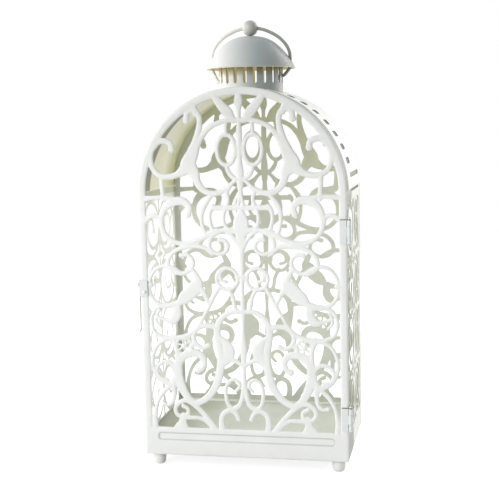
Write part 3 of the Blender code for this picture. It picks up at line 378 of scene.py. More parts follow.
def merged(bms):
    """All of the solids in one mesh."""
    out = bmesh.new()
    for b in bms:
        me = meshed("tmp", b)
        out.from_mesh(me)
        bpy.data.meshes.remove(me)
    return out


WHOLE_RING = (1.0, 0.0)
END_RING = (0.6, 0.35)


def tube(points, r, sides):
    """Round wire along the points, its ends slightly domed. A ring is (share of r, place past the end in r)."""
    bm = bmesh.new()
    pts = [Vector(p) for p in points]
    rings = []
    up = Vector((0, 1, 0))
    last = len(pts) - 1
    for i, p in enumerate(pts):
        t = (pts[min(i + 1, last)] - pts[max(i - 1, 0)]).normalized()
        side = t.cross(up).normalized()
        nrm = side.cross(t).normalized()
        kinds = [END_RING, WHOLE_RING] if i == 0 else [WHOLE_RING, END_RING] if i == last else [WHOLE_RING]
        for share, past in kinds:
            push = t * (past * r) * (-1 if i == 0 else 1)
            rings.append([bm.verts.new((p + push + r * share * (math.cos(2 * math.pi * k / sides) * side
                                                                + math.sin(2 * math.pi * k / sides) * nrm)) * MM)
                          for k in range(sides)])
    for a, b in zip(rings, rings[1:]):
        for k in range(sides):
            k2 = (k + 1) % sides
            bm.faces.new((a[k], a[k2], b[k2], b[k]))
    bm.faces.new(rings[0][::-1])
    bm.faces.new(rings[-1])
    return bm


# Scrollwork: strokes in millimetres on a flat sheet, u across, v up. Each is
# a curve with a width along it; the sheet is their union with soft fillets.

def curve(points, step=1.0):
    """Smooth curve through the points."""
    if len(points) == 2:
        (x0, y0), (x1, y1) = points
        n = max(2, int(math.hypot(x1 - x0, y1 - y0) / 4))
        return [(x0 + (x1 - x0) * i / n, y0 + (y1 - y0) * i / n) for i in range(n + 1)]
    first = (2 * points[0][0] - points[1][0], 2 * points[0][1] - points[1][1])
    last = (2 * points[-1][0] - points[-2][0], 2 * points[-1][1] - points[-2][1])
    p = [first] + list(points) + [last]
    out = []
    for i in range(1, len(p) - 2):
        k = max(2, int(math.dist(p[i], p[i + 1]) / step))
        for j in range(k):
            t = j / k
            q = []
            for c in (0, 1):
                a, b, d, e = p[i - 1][c], p[i][c], p[i + 1][c], p[i + 2][c]
                q.append(0.5 * (2 * b + (d - a) * t + (2 * a - 5 * b + 4 * d - e) * t * t
                                + (3 * b - a - 3 * d + e) * t ** 3))
            out.append(tuple(q))
    out.append(tuple(points[-1]))
    return out


def stroke(points, *w, knob=0.0):
    """Points along a curve with the half width there, and a knob at its end."""
    line = curve(points)
    run = [0.0]
    for a, b in zip(line, line[1:]):
        run.append(run[-1] + math.dist(a, b))
    out = []
    for (x, y), r in zip(line, run):
        s = r / run[-1] * (len(w) - 1)
        i = min(int(s), len(w) - 2) if len(w) > 1 else 0
        if len(w) == 1:
            h = w[0]
        else:
            t = s - i
            t = t * t * (3 - 2 * t)
            h = w[i] * (1 - t) + w[i + 1] * t
        out.append((x, y, h / 2))
    if knob:
        return [out, [(line[-1][0], line[-1][1], knob)]]
    return [out]


def disc(c, r):
    return [(c[0], c[1], r)]


def ring(c, r, w, rz=None):
    """Closed round stroke of width w, oval where rz is given."""
    rz = rz or r
    n = max(24, int(2 * math.pi * max(r, rz) / 1.2))
    return [[(c[0] + r * math.cos(2 * math.pi * i / n), c[1] + rz * math.sin(2 * math.pi * i / n), w / 2)
             for i in range(n + 1)]]


def rosette(c, r):
    """Ring with three spokes and a hub."""
    s = ring(c, r, 2.6)
    for k in range(3):
        a = math.radians(20 + 60 * k)
        s += stroke([(c[0] - r * math.cos(a), c[1] - r * math.sin(a)),
                     (c[0] + r * math.cos(a), c[1] + r * math.sin(a))], 1.8)
    return s + [disc(c, 2.4)]


# Scrollwork of the door and of the back, right half. A row is one stroke: u and v of its
# points in turn, the widths along it, and the radius of the knob at its end if it has one.

ARCHED = [
    # foot: hooks, rings, leaning scrolls and trunks on the rail
    ((22.5, 26, 23.8, 36, 21.5, 44, 15, 47.5, 9.5, 45, 6.5, 39), (6.3, 5.1, 4.1), 2.4),
    ((11, 48, 16.5, 53, 18.5, 61, 18.5, 69, 15.5, 76, 10, 78.7, 5.2, 76), (4.1, 3.6, 3.6)),
    ((5.2, 76, 4.8, 71.5, 8.6, 67), (3.6, 3.2, 2.8)),
    ((12, 49, 6, 52, 3, 58, 1.5, 66, 0.4, 76, 0, 92), (5.1, 4, 3.6)),
    ((29, 26, 36, 36, 43, 44.5, 50, 51, 57, 55.5, 63, 55.5, 68.5, 51.5, 70.5, 46, 68, 41, 62, 39.5),
      (5.8, 4.6, 4.1)),
    ((62, 40, 57.5, 43, 58, 48, 62.3, 50.3), (4.6, 3.8, 3.6), 2.2),
    ((31, 26, 38, 34.5, 46, 38.8, 54, 38.8, 62, 39), (3.6, 3.8, 4.6)),
    ((65, 26, 63.5, 34, 62.5, 41), (15.3, 8.3, 5.6)),
    ((91.5, 26, 91.5, 40, 89, 52, 84.5, 61, 78, 68, 72, 73), (5.6, 3.6, 4.6)),
    ((72, 73, 71.3, 64, 72.5, 56, 76.5, 51.2, 82, 51.8), (5.6, 4.2, 3.2), 2.1),
    # the large C scrolls
    ((49, 53, 56, 57.5, 61.5, 66, 65.5, 76, 67, 86, 65.5, 95, 60, 101.5, 51, 104.5, 43.5, 102.5, 40, 96.5,
      41.5, 90, 46, 87), (6.3, 9.6, 7.6, 5.4), 3.3),
    ((50, 53, 41, 57, 34, 63.5, 28.5, 72, 25, 82, 23.2, 92, 23, 104, 25, 116, 26, 127, 23, 137, 16, 143.8,
      8, 146.5, 0, 146), (6.3, 7.8, 6.8, 4.1)),
    ((26, 88, 17, 99, 14.5, 108, 19, 117, 25, 122), (3.6, 11.3, 3.6)),
    ((16, 100, 8, 97, 0, 92), (6.3, 4.1, 4.1)),
    ((0, 90, 0, 108, 0, 126, 0, 147), (3.6, 6.8, 3.2, 4.6)),
    # roundels down the side and the small ring beside the medallion
    ((26, 130, 34, 132, 42, 131, 48, 126.5, 50, 119.5, 47, 113, 41, 110, 35.5, 112.3), (5.2, 4.6, 4.2), 2.6),
    ((22, 171, 27, 163.5, 33, 152, 38, 143, 43, 134, 49, 126.5, 56, 122, 64, 119.7, 72, 118.3), (4, 3.4, 5.1)),
    ((66, 151, 78, 151.5, 86.5, 148.5, 91.3, 141, 91.8, 131, 88, 123.5, 80, 119.7, 70, 118.5),
      (5.6, 3.6, 3.6, 4.6)),
    ((65.5, 153, 66, 143, 71, 136.5, 79, 137.5, 86.5, 141, 84, 146.5), (7.3, 9.3, 3.2, 2.8)),
    ((86.5, 141, 87.5, 136, 83, 131), (3, 2.8)),
    ((70, 119, 78, 117.5, 86, 112.5, 91.2, 103, 92.2, 92, 89, 81, 82, 74.5, 72, 72.5), (5.1, 3.6, 3.6, 5.1)),
    ((71, 119, 67.8, 110, 66.5, 96), (5.6, 3.6, 5.6)),
    ((68, 88, 74, 94, 81, 94.6, 87, 90.5, 88.2, 84, 84.5, 78.2, 78.5, 76.2), (5.6, 3.8, 3.6, 3.6), 2.4),
    ((66, 86, 70, 78, 73, 71), (8.3, 6.3, 6.3)),
    # rosette
    rosette((60, 111.3), 8),
    ((48, 113.5, 53, 111.3), (4.1,)),
    # stem, small ring and leaves over the medallion
    ((0, 145, 0, 165, 0, 186, 0, 206, 0, 224), (4.6, 3.8, 4.6, 5.6, 7.3)),
    ring((14.8, 178.6), 10.5, 3.7),
    ((17, 189, 21.5, 184, 21, 177.5, 16, 175.5), (3.6, 3.2, 3), 1.9),
    ((14, 169, 9.3, 160, 8, 152, 5, 145.5), (3.6, 4, 3.6)),
    ((0, 181, 5, 180), (4.6,)),
    ((50, 189, 46, 182, 43.5, 175, 48, 168.5, 56, 161, 65, 153.5), (3.6, 6.3, 14.3, 13.3, 5.6)),
    ((46, 169, 39, 165, 33, 153), (8.3, 4.6, 3.6)),
    # C scroll and large roundel
    ((29.5, 203, 36, 208.8, 46, 210.3, 57, 209.3, 66, 205.8, 72.2, 199.5, 73.7, 192, 69.5, 186, 62, 183.5,
      54.5, 185, 49, 190.5, 49, 197.3, 54, 201.8, 60.5, 201.3), (3.8, 4.2, 4.4, 4, 3.6), 2.4),
    ((62, 184, 70, 188.8, 79, 190.6, 87, 187, 92.4, 178.5, 93.5, 168, 90.5, 158.7, 84, 152.8, 76, 150.8,
      68, 153.5), (5.1, 3.8, 3.6, 5.1)),
    ((92, 172, 96, 172), (5.6,)),
    # spiral and the great ring
    ((0, 223, 7, 225.5, 14, 226.4, 22, 224.8, 29, 220, 32, 212.5, 29.5, 205.7, 22, 202.7, 15.5, 205.2, 13.2, 211,
      16.5, 216, 21.5, 216.6), (5.6, 4.4, 3.8, 3.4), 2.3),
    ((0, 206, 3.6, 213, 9, 220.5, 15, 225), (4.6, 3.6, 3.6)),
    ((24, 225, 32, 222, 40, 217.5, 50, 214, 60, 213, 69, 216, 76, 222.5, 79.3, 231, 78.8, 240, 74.5, 248.5,
      66, 254, 57, 254, 51.2, 248.5, 52.3, 241), (6.5, 4.6, 4.6, 5.2, 8.6, 5.6), 3.0),
    ((79, 235.5, 84, 239.6, 90, 239.3, 96, 235), (4.6, 4.2, 5.6)),
    # palmette over the spiral
    ((0, 215, 0, 230, 0, 248), (8.3, 15.3, 4.6)),
    ((12, 225.5, 16.6, 232.5, 17, 240, 15, 247), (3.6, 3.4, 3.6)),
    ((27, 222, 30.4, 234, 30.5, 243, 27, 249), (4.6, 3.4, 4.6)),
    ((35, 221, 38.5, 232, 38.5, 243, 34, 253, 27, 261), (4.6, 3.6, 5.6, 3.6)),
    ((0, 247.7, 14, 247.7, 28, 247.7), (5,)),
    ((14, 248, 12, 256, 14, 264), (4.6, 3.4, 4.6)),
    ((3, 248, 1, 258, 0, 272), (3.6, 3.6, 4.1)),
    # upper trunk, great circle, hooks and the oval medallions
    ((51, 290, 44.5, 281, 41.8, 272, 36.5, 265, 28, 261.5, 20, 262.7, 12, 266.5), (14, 7, 5.6, 4.8)),
    ring((13, 303.2), 9, 4.1, 14.6),
    ((0, 268, 0, 290, 0, 315, 0, 333), (6.4, 7.4, 4.6, 5.4, 5.6, 3.6)),
    ((0, 274, 7, 277, 11.5, 283, 13, 289), (3.6, 4.6, 3.6)),
    ((12, 266, 7, 272, 1, 276), (4.6, 3.6, 3.6)),
    ((0, 305, 4, 304), (3.6,)),
    ((13, 317, 13, 324, 12, 331), (3.6, 3.2, 3.6)),
    ((0, 331, 10, 331.3, 20, 329, 29, 324.5, 36, 317, 41, 308, 45.5, 299, 51, 290), (4.8, 4.8, 5.6, 13)),
    ((52, 290, 48, 301, 43.3, 311, 40, 321, 38.3, 330, 39.8, 337.5, 44.8, 341.2, 50.3, 339, 51.8, 331.5),
      (13, 7.4, 6.2, 5.6, 5.4, 5.4), 3.1),
    ((42, 338.5, 45, 346), (6.3,)),
    ((50, 289, 57, 283, 65, 279, 74, 278, 82, 281, 87, 288, 88.5, 297, 86.3, 305.3, 80.8, 311.2, 74, 312.6,
      68.2, 310, 67, 304.5), (13, 6, 5.2, 5.6, 5.8, 5.8), 3.3),
    ((83, 308.5, 88.3, 303.5), (5.6, 6.3)),
    ((78, 279, 77.5, 268, 76.5, 256), (4.6, 4.4, 5)),
    ((66, 255.5, 76, 258, 86, 257.8, 96, 257), (5.6, 4.2, 5.1)),
    # fan under the crown
    ((0, 331, 0, 344, 0, 358), (3.8, 4.0, 8.4, 4.8)),
    ((5, 331, 10.5, 338, 16.5, 345, 24.5, 355), (5.6, 10.2, 8.4, 4.8)),
]


def drawn(rows):
    """Strokes of a table; a row that is a list holds strokes already."""
    s = []
    for row in rows:
        if isinstance(row, list):
            s += row
        else:
            flat, widths, *knob = row
            s += stroke(list(zip(flat[::2], flat[1::2])), *widths, knob=knob[0] if knob else 0.0)
    return s


def side_scrollwork(half, low, high):
    """Rows of paired spirals on a stem: right half."""
    s = []
    pitch = (high - low) / SIDE_ROWS
    r = pitch / 2 - 1.0
    c = half - r - 1.2
    for k in range(SIDE_ROWS):
        z = low + pitch * (k + 0.5)
        up = 1 if k % 2 == 0 else -1
        s += ring((c, z), r, 3.4)
        s += stroke([(c - r, z), (c - r * 0.62, z + up * r * 0.62), (c + r * 0.02, z + up * r * 0.66),
                     (c + r * 0.5, z + up * r * 0.2), (c + r * 0.36, z - up * r * 0.34),
                     (c - r * 0.12, z - up * r * 0.36), (c - r * 0.3, z + up * r * 0.08)],
                    4, 3.4, 3, 2.8, knob=2.4)
        s += stroke([(c + r * 0.46, z - up * r * 0.05), (c + r * 0.72, z - up * r * 0.35),
                     (c + r * 0.7, z - up * r * 0.72)], 3, 4.5, 3)
        s += stroke([(c + r - 1, z), (half + 2, z)], 5)
        s += stroke([(0, z), (c - r + 1, z)], 4)
        if k:
            s += stroke([(0, z - pitch / 2), (c - r * 0.7, z - pitch / 2)], 3, 4)
            s += stroke([(c + r * 0.5, z - pitch / 2), (half + 2, z - pitch / 2)], 4, 5)
    s += stroke([(0, low - 2), (0, (low + high) / 2), (0, high + 2)], 3.2)
    return s


# A sheet is a field of distances from its edge: above 0 inside the metal.

FINE = 0.5      # spacing of the grid under the door and the back
COARSE = 2.4    # and under the side walls, the roof and the hook
FAR = -4.0      # distances further out than this aren't kept
FILLET = 1.0


class Grid:
    """Points over a flat sheet, step apart."""

    def __init__(self, u0, v0, u1, v1, step):
        nu = int(round((u1 - u0) / step)) + 1
        nv = int(round((v1 - v0) / step)) + 1
        self.step = step
        self.u0, self.v0 = u0, v0
        self.u = u0 + step * np.arange(nu)
        self.v = v0 + step * np.arange(nv)
        self.U, self.V = np.meshgrid(self.u, self.v)

    def at(self, f, u, v):
        """Field values between the grid's points."""
        x = np.clip((np.asarray(u) - self.u0) / self.step, 0, len(self.u) - 1.001)
        y = np.clip((np.asarray(v) - self.v0) / self.step, 0, len(self.v) - 1.001)
        i, j = x.astype(int), y.astype(int)
        a, b = x - i, y - j
        return (f[j, i] * (1 - a) * (1 - b) + f[j, i + 1] * a * (1 - b)
                + f[j + 1, i] * (1 - a) * b + f[j + 1, i + 1] * a * b)


def soft_max(a, b, k=FILLET):
    """Union of two fields with a fillet where they meet."""
    h = np.clip(1 - np.abs(a - b) / k, 0, 1)
    return np.maximum(a, b) + h * h * h * k / 6


def span(low, high, start, step, count):
    """First and last place of a grid's row that cover low to high."""
    return max(int((low - start) / step), 0), min(int((high - start) / step) + 2, count)


def paint(g, strokes):
    """Distance field of all strokes together."""
    f = np.full(g.U.shape, FAR)
    step = g.step
    for line in strokes:
        xs = [p[0] for p in line]
        ys = [p[1] for p in line]
        pad = max(p[2] for p in line) - FAR
        i0, i1 = span(min(xs) - pad, max(xs) + pad, g.u0, step, len(g.u))
        j0, j1 = span(min(ys) - pad, max(ys) + pad, g.v0, step, len(g.v))
        if i1 <= i0 or j1 <= j0:
            continue
        U, V = g.U[j0:j1, i0:i1], g.V[j0:j1, i0:i1]
        if len(line) == 1:
            x, y, r = line[0]
            own = np.maximum(r - np.hypot(U - x, V - y), FAR)
        else:
            own = np.full(U.shape, FAR)
            for (x0, y0, r0), (x1, y1, r1) in zip(line, line[1:]):
                q = max(r0, r1) - FAR
                a0, a1 = span(min(x0, x1) - q, max(x0, x1) + q, U[0, 0], step, U.shape[1])
                b0, b1 = span(min(y0, y1) - q, max(y0, y1) + q, V[0, 0], step, U.shape[0])
                if a1 <= a0 or b1 <= b0:
                    continue
                px, py = U[b0:b1, a0:a1] - x0, V[b0:b1, a0:a1] - y0
                dx, dy = x1 - x0, y1 - y0
                t = np.clip((px * dx + py * dy) / max(dx * dx + dy * dy, 1e-9), 0, 1)
                d = r0 + (r1 - r0) * t - np.hypot(px - t * dx, py - t * dy)
                part = own[b0:b1, a0:a1]
                np.maximum(part, d, out=part)
        f[j0:j1, i0:i1] = soft_max(f[j0:j1, i0:i1], own)
    return f


def blurred(f, sigma, step):
    """Gaussian blur; sigma in mm."""
    n = max(1, int(3 * sigma / step))
    k = np.exp(-0.5 * (np.arange(-n, n + 1) * step / sigma) ** 2)
    k /= k.sum()
    for axis in (0, 1):
        pad = [(0, 0), (0, 0)]
        pad[axis] = (n, n)
        p = np.pad(f, pad, mode="edge")
        out = np.zeros_like(f)
        for i, w in enumerate(k):
            sl = [slice(None), slice(None)]
            sl[axis] = slice(i, i + f.shape[axis])
            out += w * p[tuple(sl)]
        f = out
    return f


def contours(g, f, level):
    """Closed lines where the field crosses a level."""
    s = f > level
    code = s[:-1, :-1] * 1 + s[:-1, 1:] * 2 + s[1:, 1:] * 4 + s[1:, :-1] * 8
    js, is_ = np.nonzero((code > 0) & (code < 15))
    table = {1: ((3, 0),), 2: ((0, 1),), 3: ((3, 1),), 4: ((1, 2),), 6: ((0, 2),), 7: ((3, 2),),
             8: ((2, 3),), 9: ((2, 0),), 11: ((2, 1),), 12: ((1, 3),), 13: ((1, 0),), 14: ((0, 3),)}
    following = {}
    for j, i in zip(js.tolist(), is_.tolist()):
        c = int(code[j, i])
        if c in (5, 10):
            mid = (f[j, i] + f[j, i + 1] + f[j + 1, i] + f[j + 1, i + 1]) / 4 > level
            if c == 5:
                segs = ((3, 2), (1, 0)) if mid else ((3, 0), (1, 2))
            else:
                segs = ((0, 3), (2, 1)) if mid else ((0, 1), (2, 3))
        else:
            segs = table[c]
        keys = ((j, i, 0), (j, i + 1, 1), (j + 1, i, 0), (j, i, 1))
        for a, b in segs:
            following[keys[a]] = keys[b]
    loops = []
    while following:
        start, at = following.popitem()
        loop = [start]
        while at != start:
            loop.append(at)
            at = following.pop(at)
        pts = []
        for j, i, up in loop:
            t = (level - f[j, i]) / (f[j + up, i + 1 - up] - f[j, i])
            pts.append((g.u0 + (i + t * (1 - up)) * g.step, g.v0 + (j + t * up) * g.step))
        if len(pts) > 5:
            loops.append([(float(x), float(y)) for x, y in pts])
    return loops


def thin(line, tol):
    """The line without the points that lie within tol of it."""
    keep = {0, len(line) - 1}
    todo = [(0, len(line) - 1)]
    arr = np.array(line)
    while todo:
        a, b = todo.pop()
        if b - a < 2:
            continue
        d = arr[b] - arr[a]
        n = math.hypot(d[0], d[1]) or 1e-9
        off = np.abs((arr[a + 1:b, 0] - arr[a, 0]) * d[1] - (arr[a + 1:b, 1] - arr[a, 1]) * d[0]) / n
        i = int(off.argmax())
        if off[i] > tol:
            keep.add(a + 1 + i)
            todo += [(a, a + 1 + i), (a + 1 + i, b)]
    return [line[i] for i in sorted(keep)]


def plain_loop(loop, tol):
    """A closed line thinned in two halves."""
    far = max(range(len(loop)), key=lambda i: math.dist(loop[0], loop[i]))
    return thin(loop[:far + 1], tol)[:-1] + thin(loop[far:] + loop[:1], tol)[:-1]


def inside(centres, loops):
    """Even-odd test of points against closed loops."""
    odd = np.zeros(len(centres), bool)
    for p in loops:
        a = np.array(p)
        low, high = a.min(0), a.max(0)
        near = np.nonzero((centres > low).all(1) & (centres < high).all(1))[0]
        if len(near) == 0:
            continue
        c = centres[near]
        hit = np.zeros(len(near), bool)
        for (x0, y0), (x1, y1) in zip(p, p[1:] + p[:1]):
            if y0 == y1:
                continue
            side = (y0 > c[:, 1]) != (y1 > c[:, 1])
            hit ^= side & (c[:, 0] < x0 + (c[:, 1] - y0) / (y1 - y0) * (x1 - x0))
        odd[near[hit]] ^= True
    return odd


def split(loop, longest):
    """The loop with points added along its long edges."""
    out = []
    for (u0, v0), (u1, v1) in zip(loop, loop[1:] + loop[:1]):
        n = max(1, math.ceil(math.hypot(u1 - u0, v1 - v0) / longest))
        out += [(u0 + (u1 - u0) * i / n, v0 + (v1 - v0) * i / n) for i in range(n)]
    return out


def sheet(g, f, place, thick, levels, depth, fill=0.0, extra=(), tol=0.04, longest=40.0):
    """Mesh of a sheet. place(u, v, w) maps to mm; depth(field, u, v) is how far
    the front lies under the sheet's face; fill is the spacing of inner points."""
    edge = [plain_loop(p, tol) for p in contours(g, f, 0.0)]
    loops = list(edge)
    for level in levels:
        loops += [plain_loop(p, tol * 1.5) for p in contours(g, f, level)]
    loops += [plain_loop(p, tol) for p in extra]
    points, edges = [], []
    for loop in loops:
        loop = split(loop, longest)
        base = len(points)
        points += loop
        edges += [(base + i, base + (i + 1) % len(loop)) for i in range(len(loop))]
    if fill:
        us = np.arange(g.u[0], g.u[-1], fill)
        vs = np.arange(g.v[0], g.v[-1], fill)
        pu, pv = np.meshgrid(us, vs)
        pu[1::2] += fill / 2
        ok = g.at(f, pu, pv) > max(levels) + 0.3
        points += [(float(x), float(y)) for x, y in zip(pu[ok], pv[ok])]
    out = delaunay_2d_cdt([Vector(p) for p in points], edges, [], 0, 1e-4, False)
    pts = np.array([tuple(v) for v in out[0]])
    tris = np.array([tuple(t) for t in out[2]])
    tris = tris[inside(pts[tris].mean(1), edge)]
    w = depth(g.at(f, pts[:, 0], pts[:, 1]), pts[:, 0], pts[:, 1])
    bm = bmesh.new()
    front, back = {}, {}
    for i in np.unique(tris).tolist():
        u, v = float(pts[i][0]), float(pts[i][1])
        front[i] = bm.verts.new(Vector(place(u, v, float(w[i]))) * MM)
        back[i] = bm.verts.new(Vector(place(u, v, thick(u, v))) * MM)
    rim = {}
    for a, b, c in tris.tolist():
        bm.faces.new((front[a], front[b], front[c]))
        bm.faces.new((back[c], back[b], back[a]))
        for e in ((a, b), (b, c), (c, a)):
            if (e[1], e[0]) in rim:
                del rim[(e[1], e[0])]
            else:
                rim[e] = True
    for a, b in rim:
        bm.faces.new((front[b], front[a], back[a], back[b]))
    return bm


ROUND = 2.3
ROUND_DEPTH = 0.95
CROWN = 0.22
CROWN_REACH = 2.2
LEVELS = (0.12, 0.4, 0.85, 1.5, 2.4)    # distances from the edge that get a line of points
JOIN = 1.4                              # fillet between scrollwork and frame
SMOOTH = 0.3                            # blur of the whole field


def relief(field):
    """Front face's depth: rounded edges and a slow crown on wide shapes."""
    t = 1 - np.clip(field, 0, ROUND) / ROUND
    edge = ROUND_DEPTH * (1 - np.sqrt(np.clip(1 - t * t, 0, 1)))
    return edge + CROWN * np.exp(-np.maximum(field, 0) / CROWN_REACH)


def rounded_box(u, v, u0, v0, u1, v1, r):
    """Distance inside a rectangle with rounded corners."""
    qx = np.abs(u - (u0 + u1) / 2) - (u1 - u0) / 2 + r
    qy = np.abs(v - (v0 + v1) / 2) - (v1 - v0) / 2 + r
    return r - np.hypot(np.maximum(qx, 0), np.maximum(qy, 0)) - np.minimum(np.maximum(qx, qy), 0)


def cut_out(g, frame, strokes, outline, pad=None):
    """Field of a sheet within its outline: frame, scrollwork mirrored to the left, and a pad."""
    half = paint(g, strokes)
    work = np.maximum(half, half[:, ::-1])
    if pad:
        work = soft_max(work, paint(g, pad))
    whole = soft_max(frame, work, JOIN)
    whole = blurred(np.maximum(whole, FAR), SMOOTH, g.step)
    return np.minimum(whole, outline)


def arch_field(g):
    """Door and back: frame strip, rail and scrollwork."""
    across = np.where(g.V < SPRING, HALF - np.abs(g.U), HALF - np.hypot(g.U, g.V - SPRING))
    strip = np.minimum(np.minimum(across, FRAME_T - across), g.V)
    rail = np.minimum(np.minimum(RAIL_H - g.V, g.V), HALF - np.abs(g.U))
    return cut_out(g, soft_max(strip, rail), drawn(ARCHED), np.minimum(across, g.V))


arch_grid = Grid(-106, -4, 106, 368, FINE)
arch = arch_field(arch_grid)
BEAD = (-89, 15.0, 89, 23.4, 3.4)       # outline of the rail's pressed bead: a rounded box
BEAD_SLOPE = 1.5


def bead_depth(u, v):
    """How far the bead is pressed in at a point of the rail."""
    t = np.clip(rounded_box(u, v, *BEAD) / BEAD_SLOPE, 0, 1)
    return BEAD_DEPTH * t * t * (3 - 2 * t)


bead_field = rounded_box(arch_grid.U, arch_grid.V, *BEAD)
bead_lines = []
for at in (0.05, 0.5, 1.0, 1.45):
    bead_lines += contours(arch_grid, bead_field, at)

bm = sheet(arch_grid, arch, lambda u, v, w: (u, YF + w, Z0 + v), lambda u, v: PANEL + float(bead_depth(u, v)),
           LEVELS, lambda f, u, v: relief(f) + bead_depth(u, v), 3.0, bead_lines)


def on_bead(f):
    """1 for a face on the pressed bead's slope in the rail; these faces are painted darker grey as shade."""
    c = f.calc_center_median() / MM
    return 1 if f.normal.y < -0.3 and 0.05 < rounded_box(c.x, c.z - Z0, *BEAD) < 1.45 else 0


piece("door_scrollwork", bm, "door", ["door_panel"], [DOOR, LINE], pick=on_bead)

bm = sheet(arch_grid, arch, lambda u, v, w: (u, YB - w, Z0 + v), lambda u, v: PANEL,
           LEVELS, lambda f, u, v: relief(f), 3.0)
# The inner face, which faces the door, takes the painted shade of the back's inside coat
piece("back_scrollwork", bm, "body", ["back_panel"], [WHITE, BACK_IN],
      pick=lambda f: 1 if f.normal.y < -0.5 else 0)

# Side walls, and the long marks pressed along the eaves
side_half = -BODY_YF
side_high = SIDE_TOP - TOP_BAND
frame_in = side_half - SIDE_EDGE
PRESS = 0.7
EAVE_FROM = YF + 46.5
EAVE_TO = YB - 10.5
LINE_H = 2.4
side_grid = Grid(-68, -4, 68, 266, COARSE)


def side_field(g, pad):
    """Side wall: border, scrollwork, and a pad behind the stud."""
    border = rounded_box(g.U, g.V, -side_half, 0, side_half, SIDE_TOP, 0.4)
    hollow = rounded_box(g.U, g.V, -frame_in, SIDE_BAND, frame_in, side_high, 1.0)
    work = side_scrollwork(frame_in, SIDE_BAND, side_high)
    return cut_out(g, np.minimum(border, -hollow), work, border, pad)


# Latch places, used by the left wall's pad too
PIVOT_Y = YF + 3.0
PIVOT_Z = 172.0
LEAF_T = 0.9
HOOK_W = 2.8
TOE_Z = 125.4
STUD_R = 1.3
RIVET_R = 1.0
EAR_X = -HALF - 0.4
hook_x = EAR_X - LEAF_T - GAP
x_out = hook_x - LEAF_T - GAP
stud_y = PIVOT_Y + PIVOT_Z - TOE_Z - HOOK_W / 2 + 0.2 - GAP - STUD_R
stud_z = PIVOT_Z - (HOOK_W / 2 + GAP + STUD_R)

pad = [disc((stud_y, stud_z), 5.5)] + stroke([(stud_y, stud_z), (-1.5, stud_z - 3.0)], 6, 5)
for side, tag, added in ((-1, "left", pad), (1, "right", None)):
    bm = sheet(side_grid, side_field(side_grid, added), lambda u, v, w: (side * (HALF - w), u, Z0 + v),
               lambda u, v: SHEET, LEVELS[:4], lambda f, u, v: relief(f) * 0.8, 4.0)
    # The right wall's cut edges are painted dark as shade; the left wall's take the inner coat
    cut = EDGE if side > 0 else WALL_IN
    wall = piece("side_scrollwork_" + tag, bm, "body", ["side_wall_" + tag], [SIDE, WALL_IN, GROOVE_SHADE, cut],
                 pick=lambda f: 0 if f.normal.x * side > 0.5 else 1 if f.normal.x * side < -0.5 else 3)
    # The step along the wall's top is painted near-black as shade
    boolean(wall, box(side * HALF - PRESS, EAVE_FROM, Z0 + SIDE_TOP - LINE_H, side * HALF + PRESS, EAVE_TO - 2,
                      Z0 + SIDE_TOP + 1), "step", slot=2)


# Roof: a sheet rolled into a half barrel, u along the arc from the right
A_LOW = math.asin((1.4 + GAP) / HALF)
ARC = HALF * (math.pi - 2 * A_LOW)
FLUE_R = COLLAR_R - 6
roof_grid = Grid(-3, -68, ARC + 3, 68, COARSE)


def roof_angle(u):
    return A_LOW + u / HALF


def roof_field(g):
    """Roof: the flat sheet without the flue's hole."""
    whole = rounded_box(g.U, g.V, 0, BODY_YF, ARC, BODY_YB, 0.3)
    return np.minimum(whole, np.hypot(HALF * np.cos(roof_angle(g.U)), g.V) - FLUE_R)


def roof_place(u, v, w):
    a = roof_angle(u)
    return ((HALF - w) * math.cos(a), v, crown_z + (HALF - w) * math.sin(a))


bm = sheet(roof_grid, roof_field(roof_grid), roof_place, lambda u, v: SHEET, (0.3,),
           lambda f, u, v: 0.25 * (1 - np.clip(f, 0, 0.3) / 0.3), 3.0, longest=2.5)


def roof_side(f):
    """0 on the roof's outside, 1 on its inside."""
    c = f.calc_center_median()
    out = Vector((c.x, 0, c.z - crown_z * MM)).normalized()
    return 1 if f.normal.dot(out) < -0.5 else 0


roof = piece("roof_sheet", bm, "body", ["vault"], [ROOF_OUT, ROOF_IN, MARK, EAVE], 30, roof_side)

# Marks pressed into the roof's outside, their floors painted near-black as shade
OVAL_PITCH = 8.15
OVAL_L = 6.4


def mark(angle, length, y0, y1, r, n=6):
    """Cutter for a rounded mark at an angle in degrees from the top of the roof."""
    outline = []
    for cu, cv, turn in ((length / 2 - r, y0 + r, -90), (length / 2 - r, y1 - r, 0), (r - length / 2, y1 - r, 90),
                         (r - length / 2, y0 + r, 180)):
        for i in range(n + 1):
            b = math.radians(turn + 90 * i / n)
            outline.append((cu + r * math.cos(b), cv + r * math.sin(b)))
    b = bmesh.new()
    low = [b.verts.new(Vector((u, v, -PRESS)) * MM) for u, v in outline]
    top = [b.verts.new(Vector((u, v, 3)) * MM) for u, v in outline]
    b.faces.new(low[::-1])
    b.faces.new(top)
    for i in range(len(low)):
        j = (i + 1) % len(low)
        b.faces.new((low[i], low[j], top[j], top[i]))
    a = math.radians(90 - angle)
    move = Matrix.Translation(Vector((HALF * math.cos(a), 0, crown_z + HALF * math.sin(a))) * MM)
    bmesh.ops.transform(b, matrix=move @ Matrix.Rotation(math.pi / 2 - a, 4, "Y"), verts=b.verts[:])
    return b


marks = [mark(side * OVAL_PITCH * k, OVAL_L, YF + 42.5, YF + 67.5, 2.6) for side in (-1, 1) for k in range(1, 10)
         if HALF * math.sin(math.radians(OVAL_PITCH * k)) - OVAL_L / 2 > COLLAR_R + 1]
boolean(roof, merged(marks), "ovals", slot=2)
# The long marks along the eaves are painted dark grey as shade
boolean(roof, merged([mark(side * 81.5, 4.6, EAVE_FROM, EAVE_TO, 2.0) for side in (-1, 1)]), "eave_marks", slot=3)


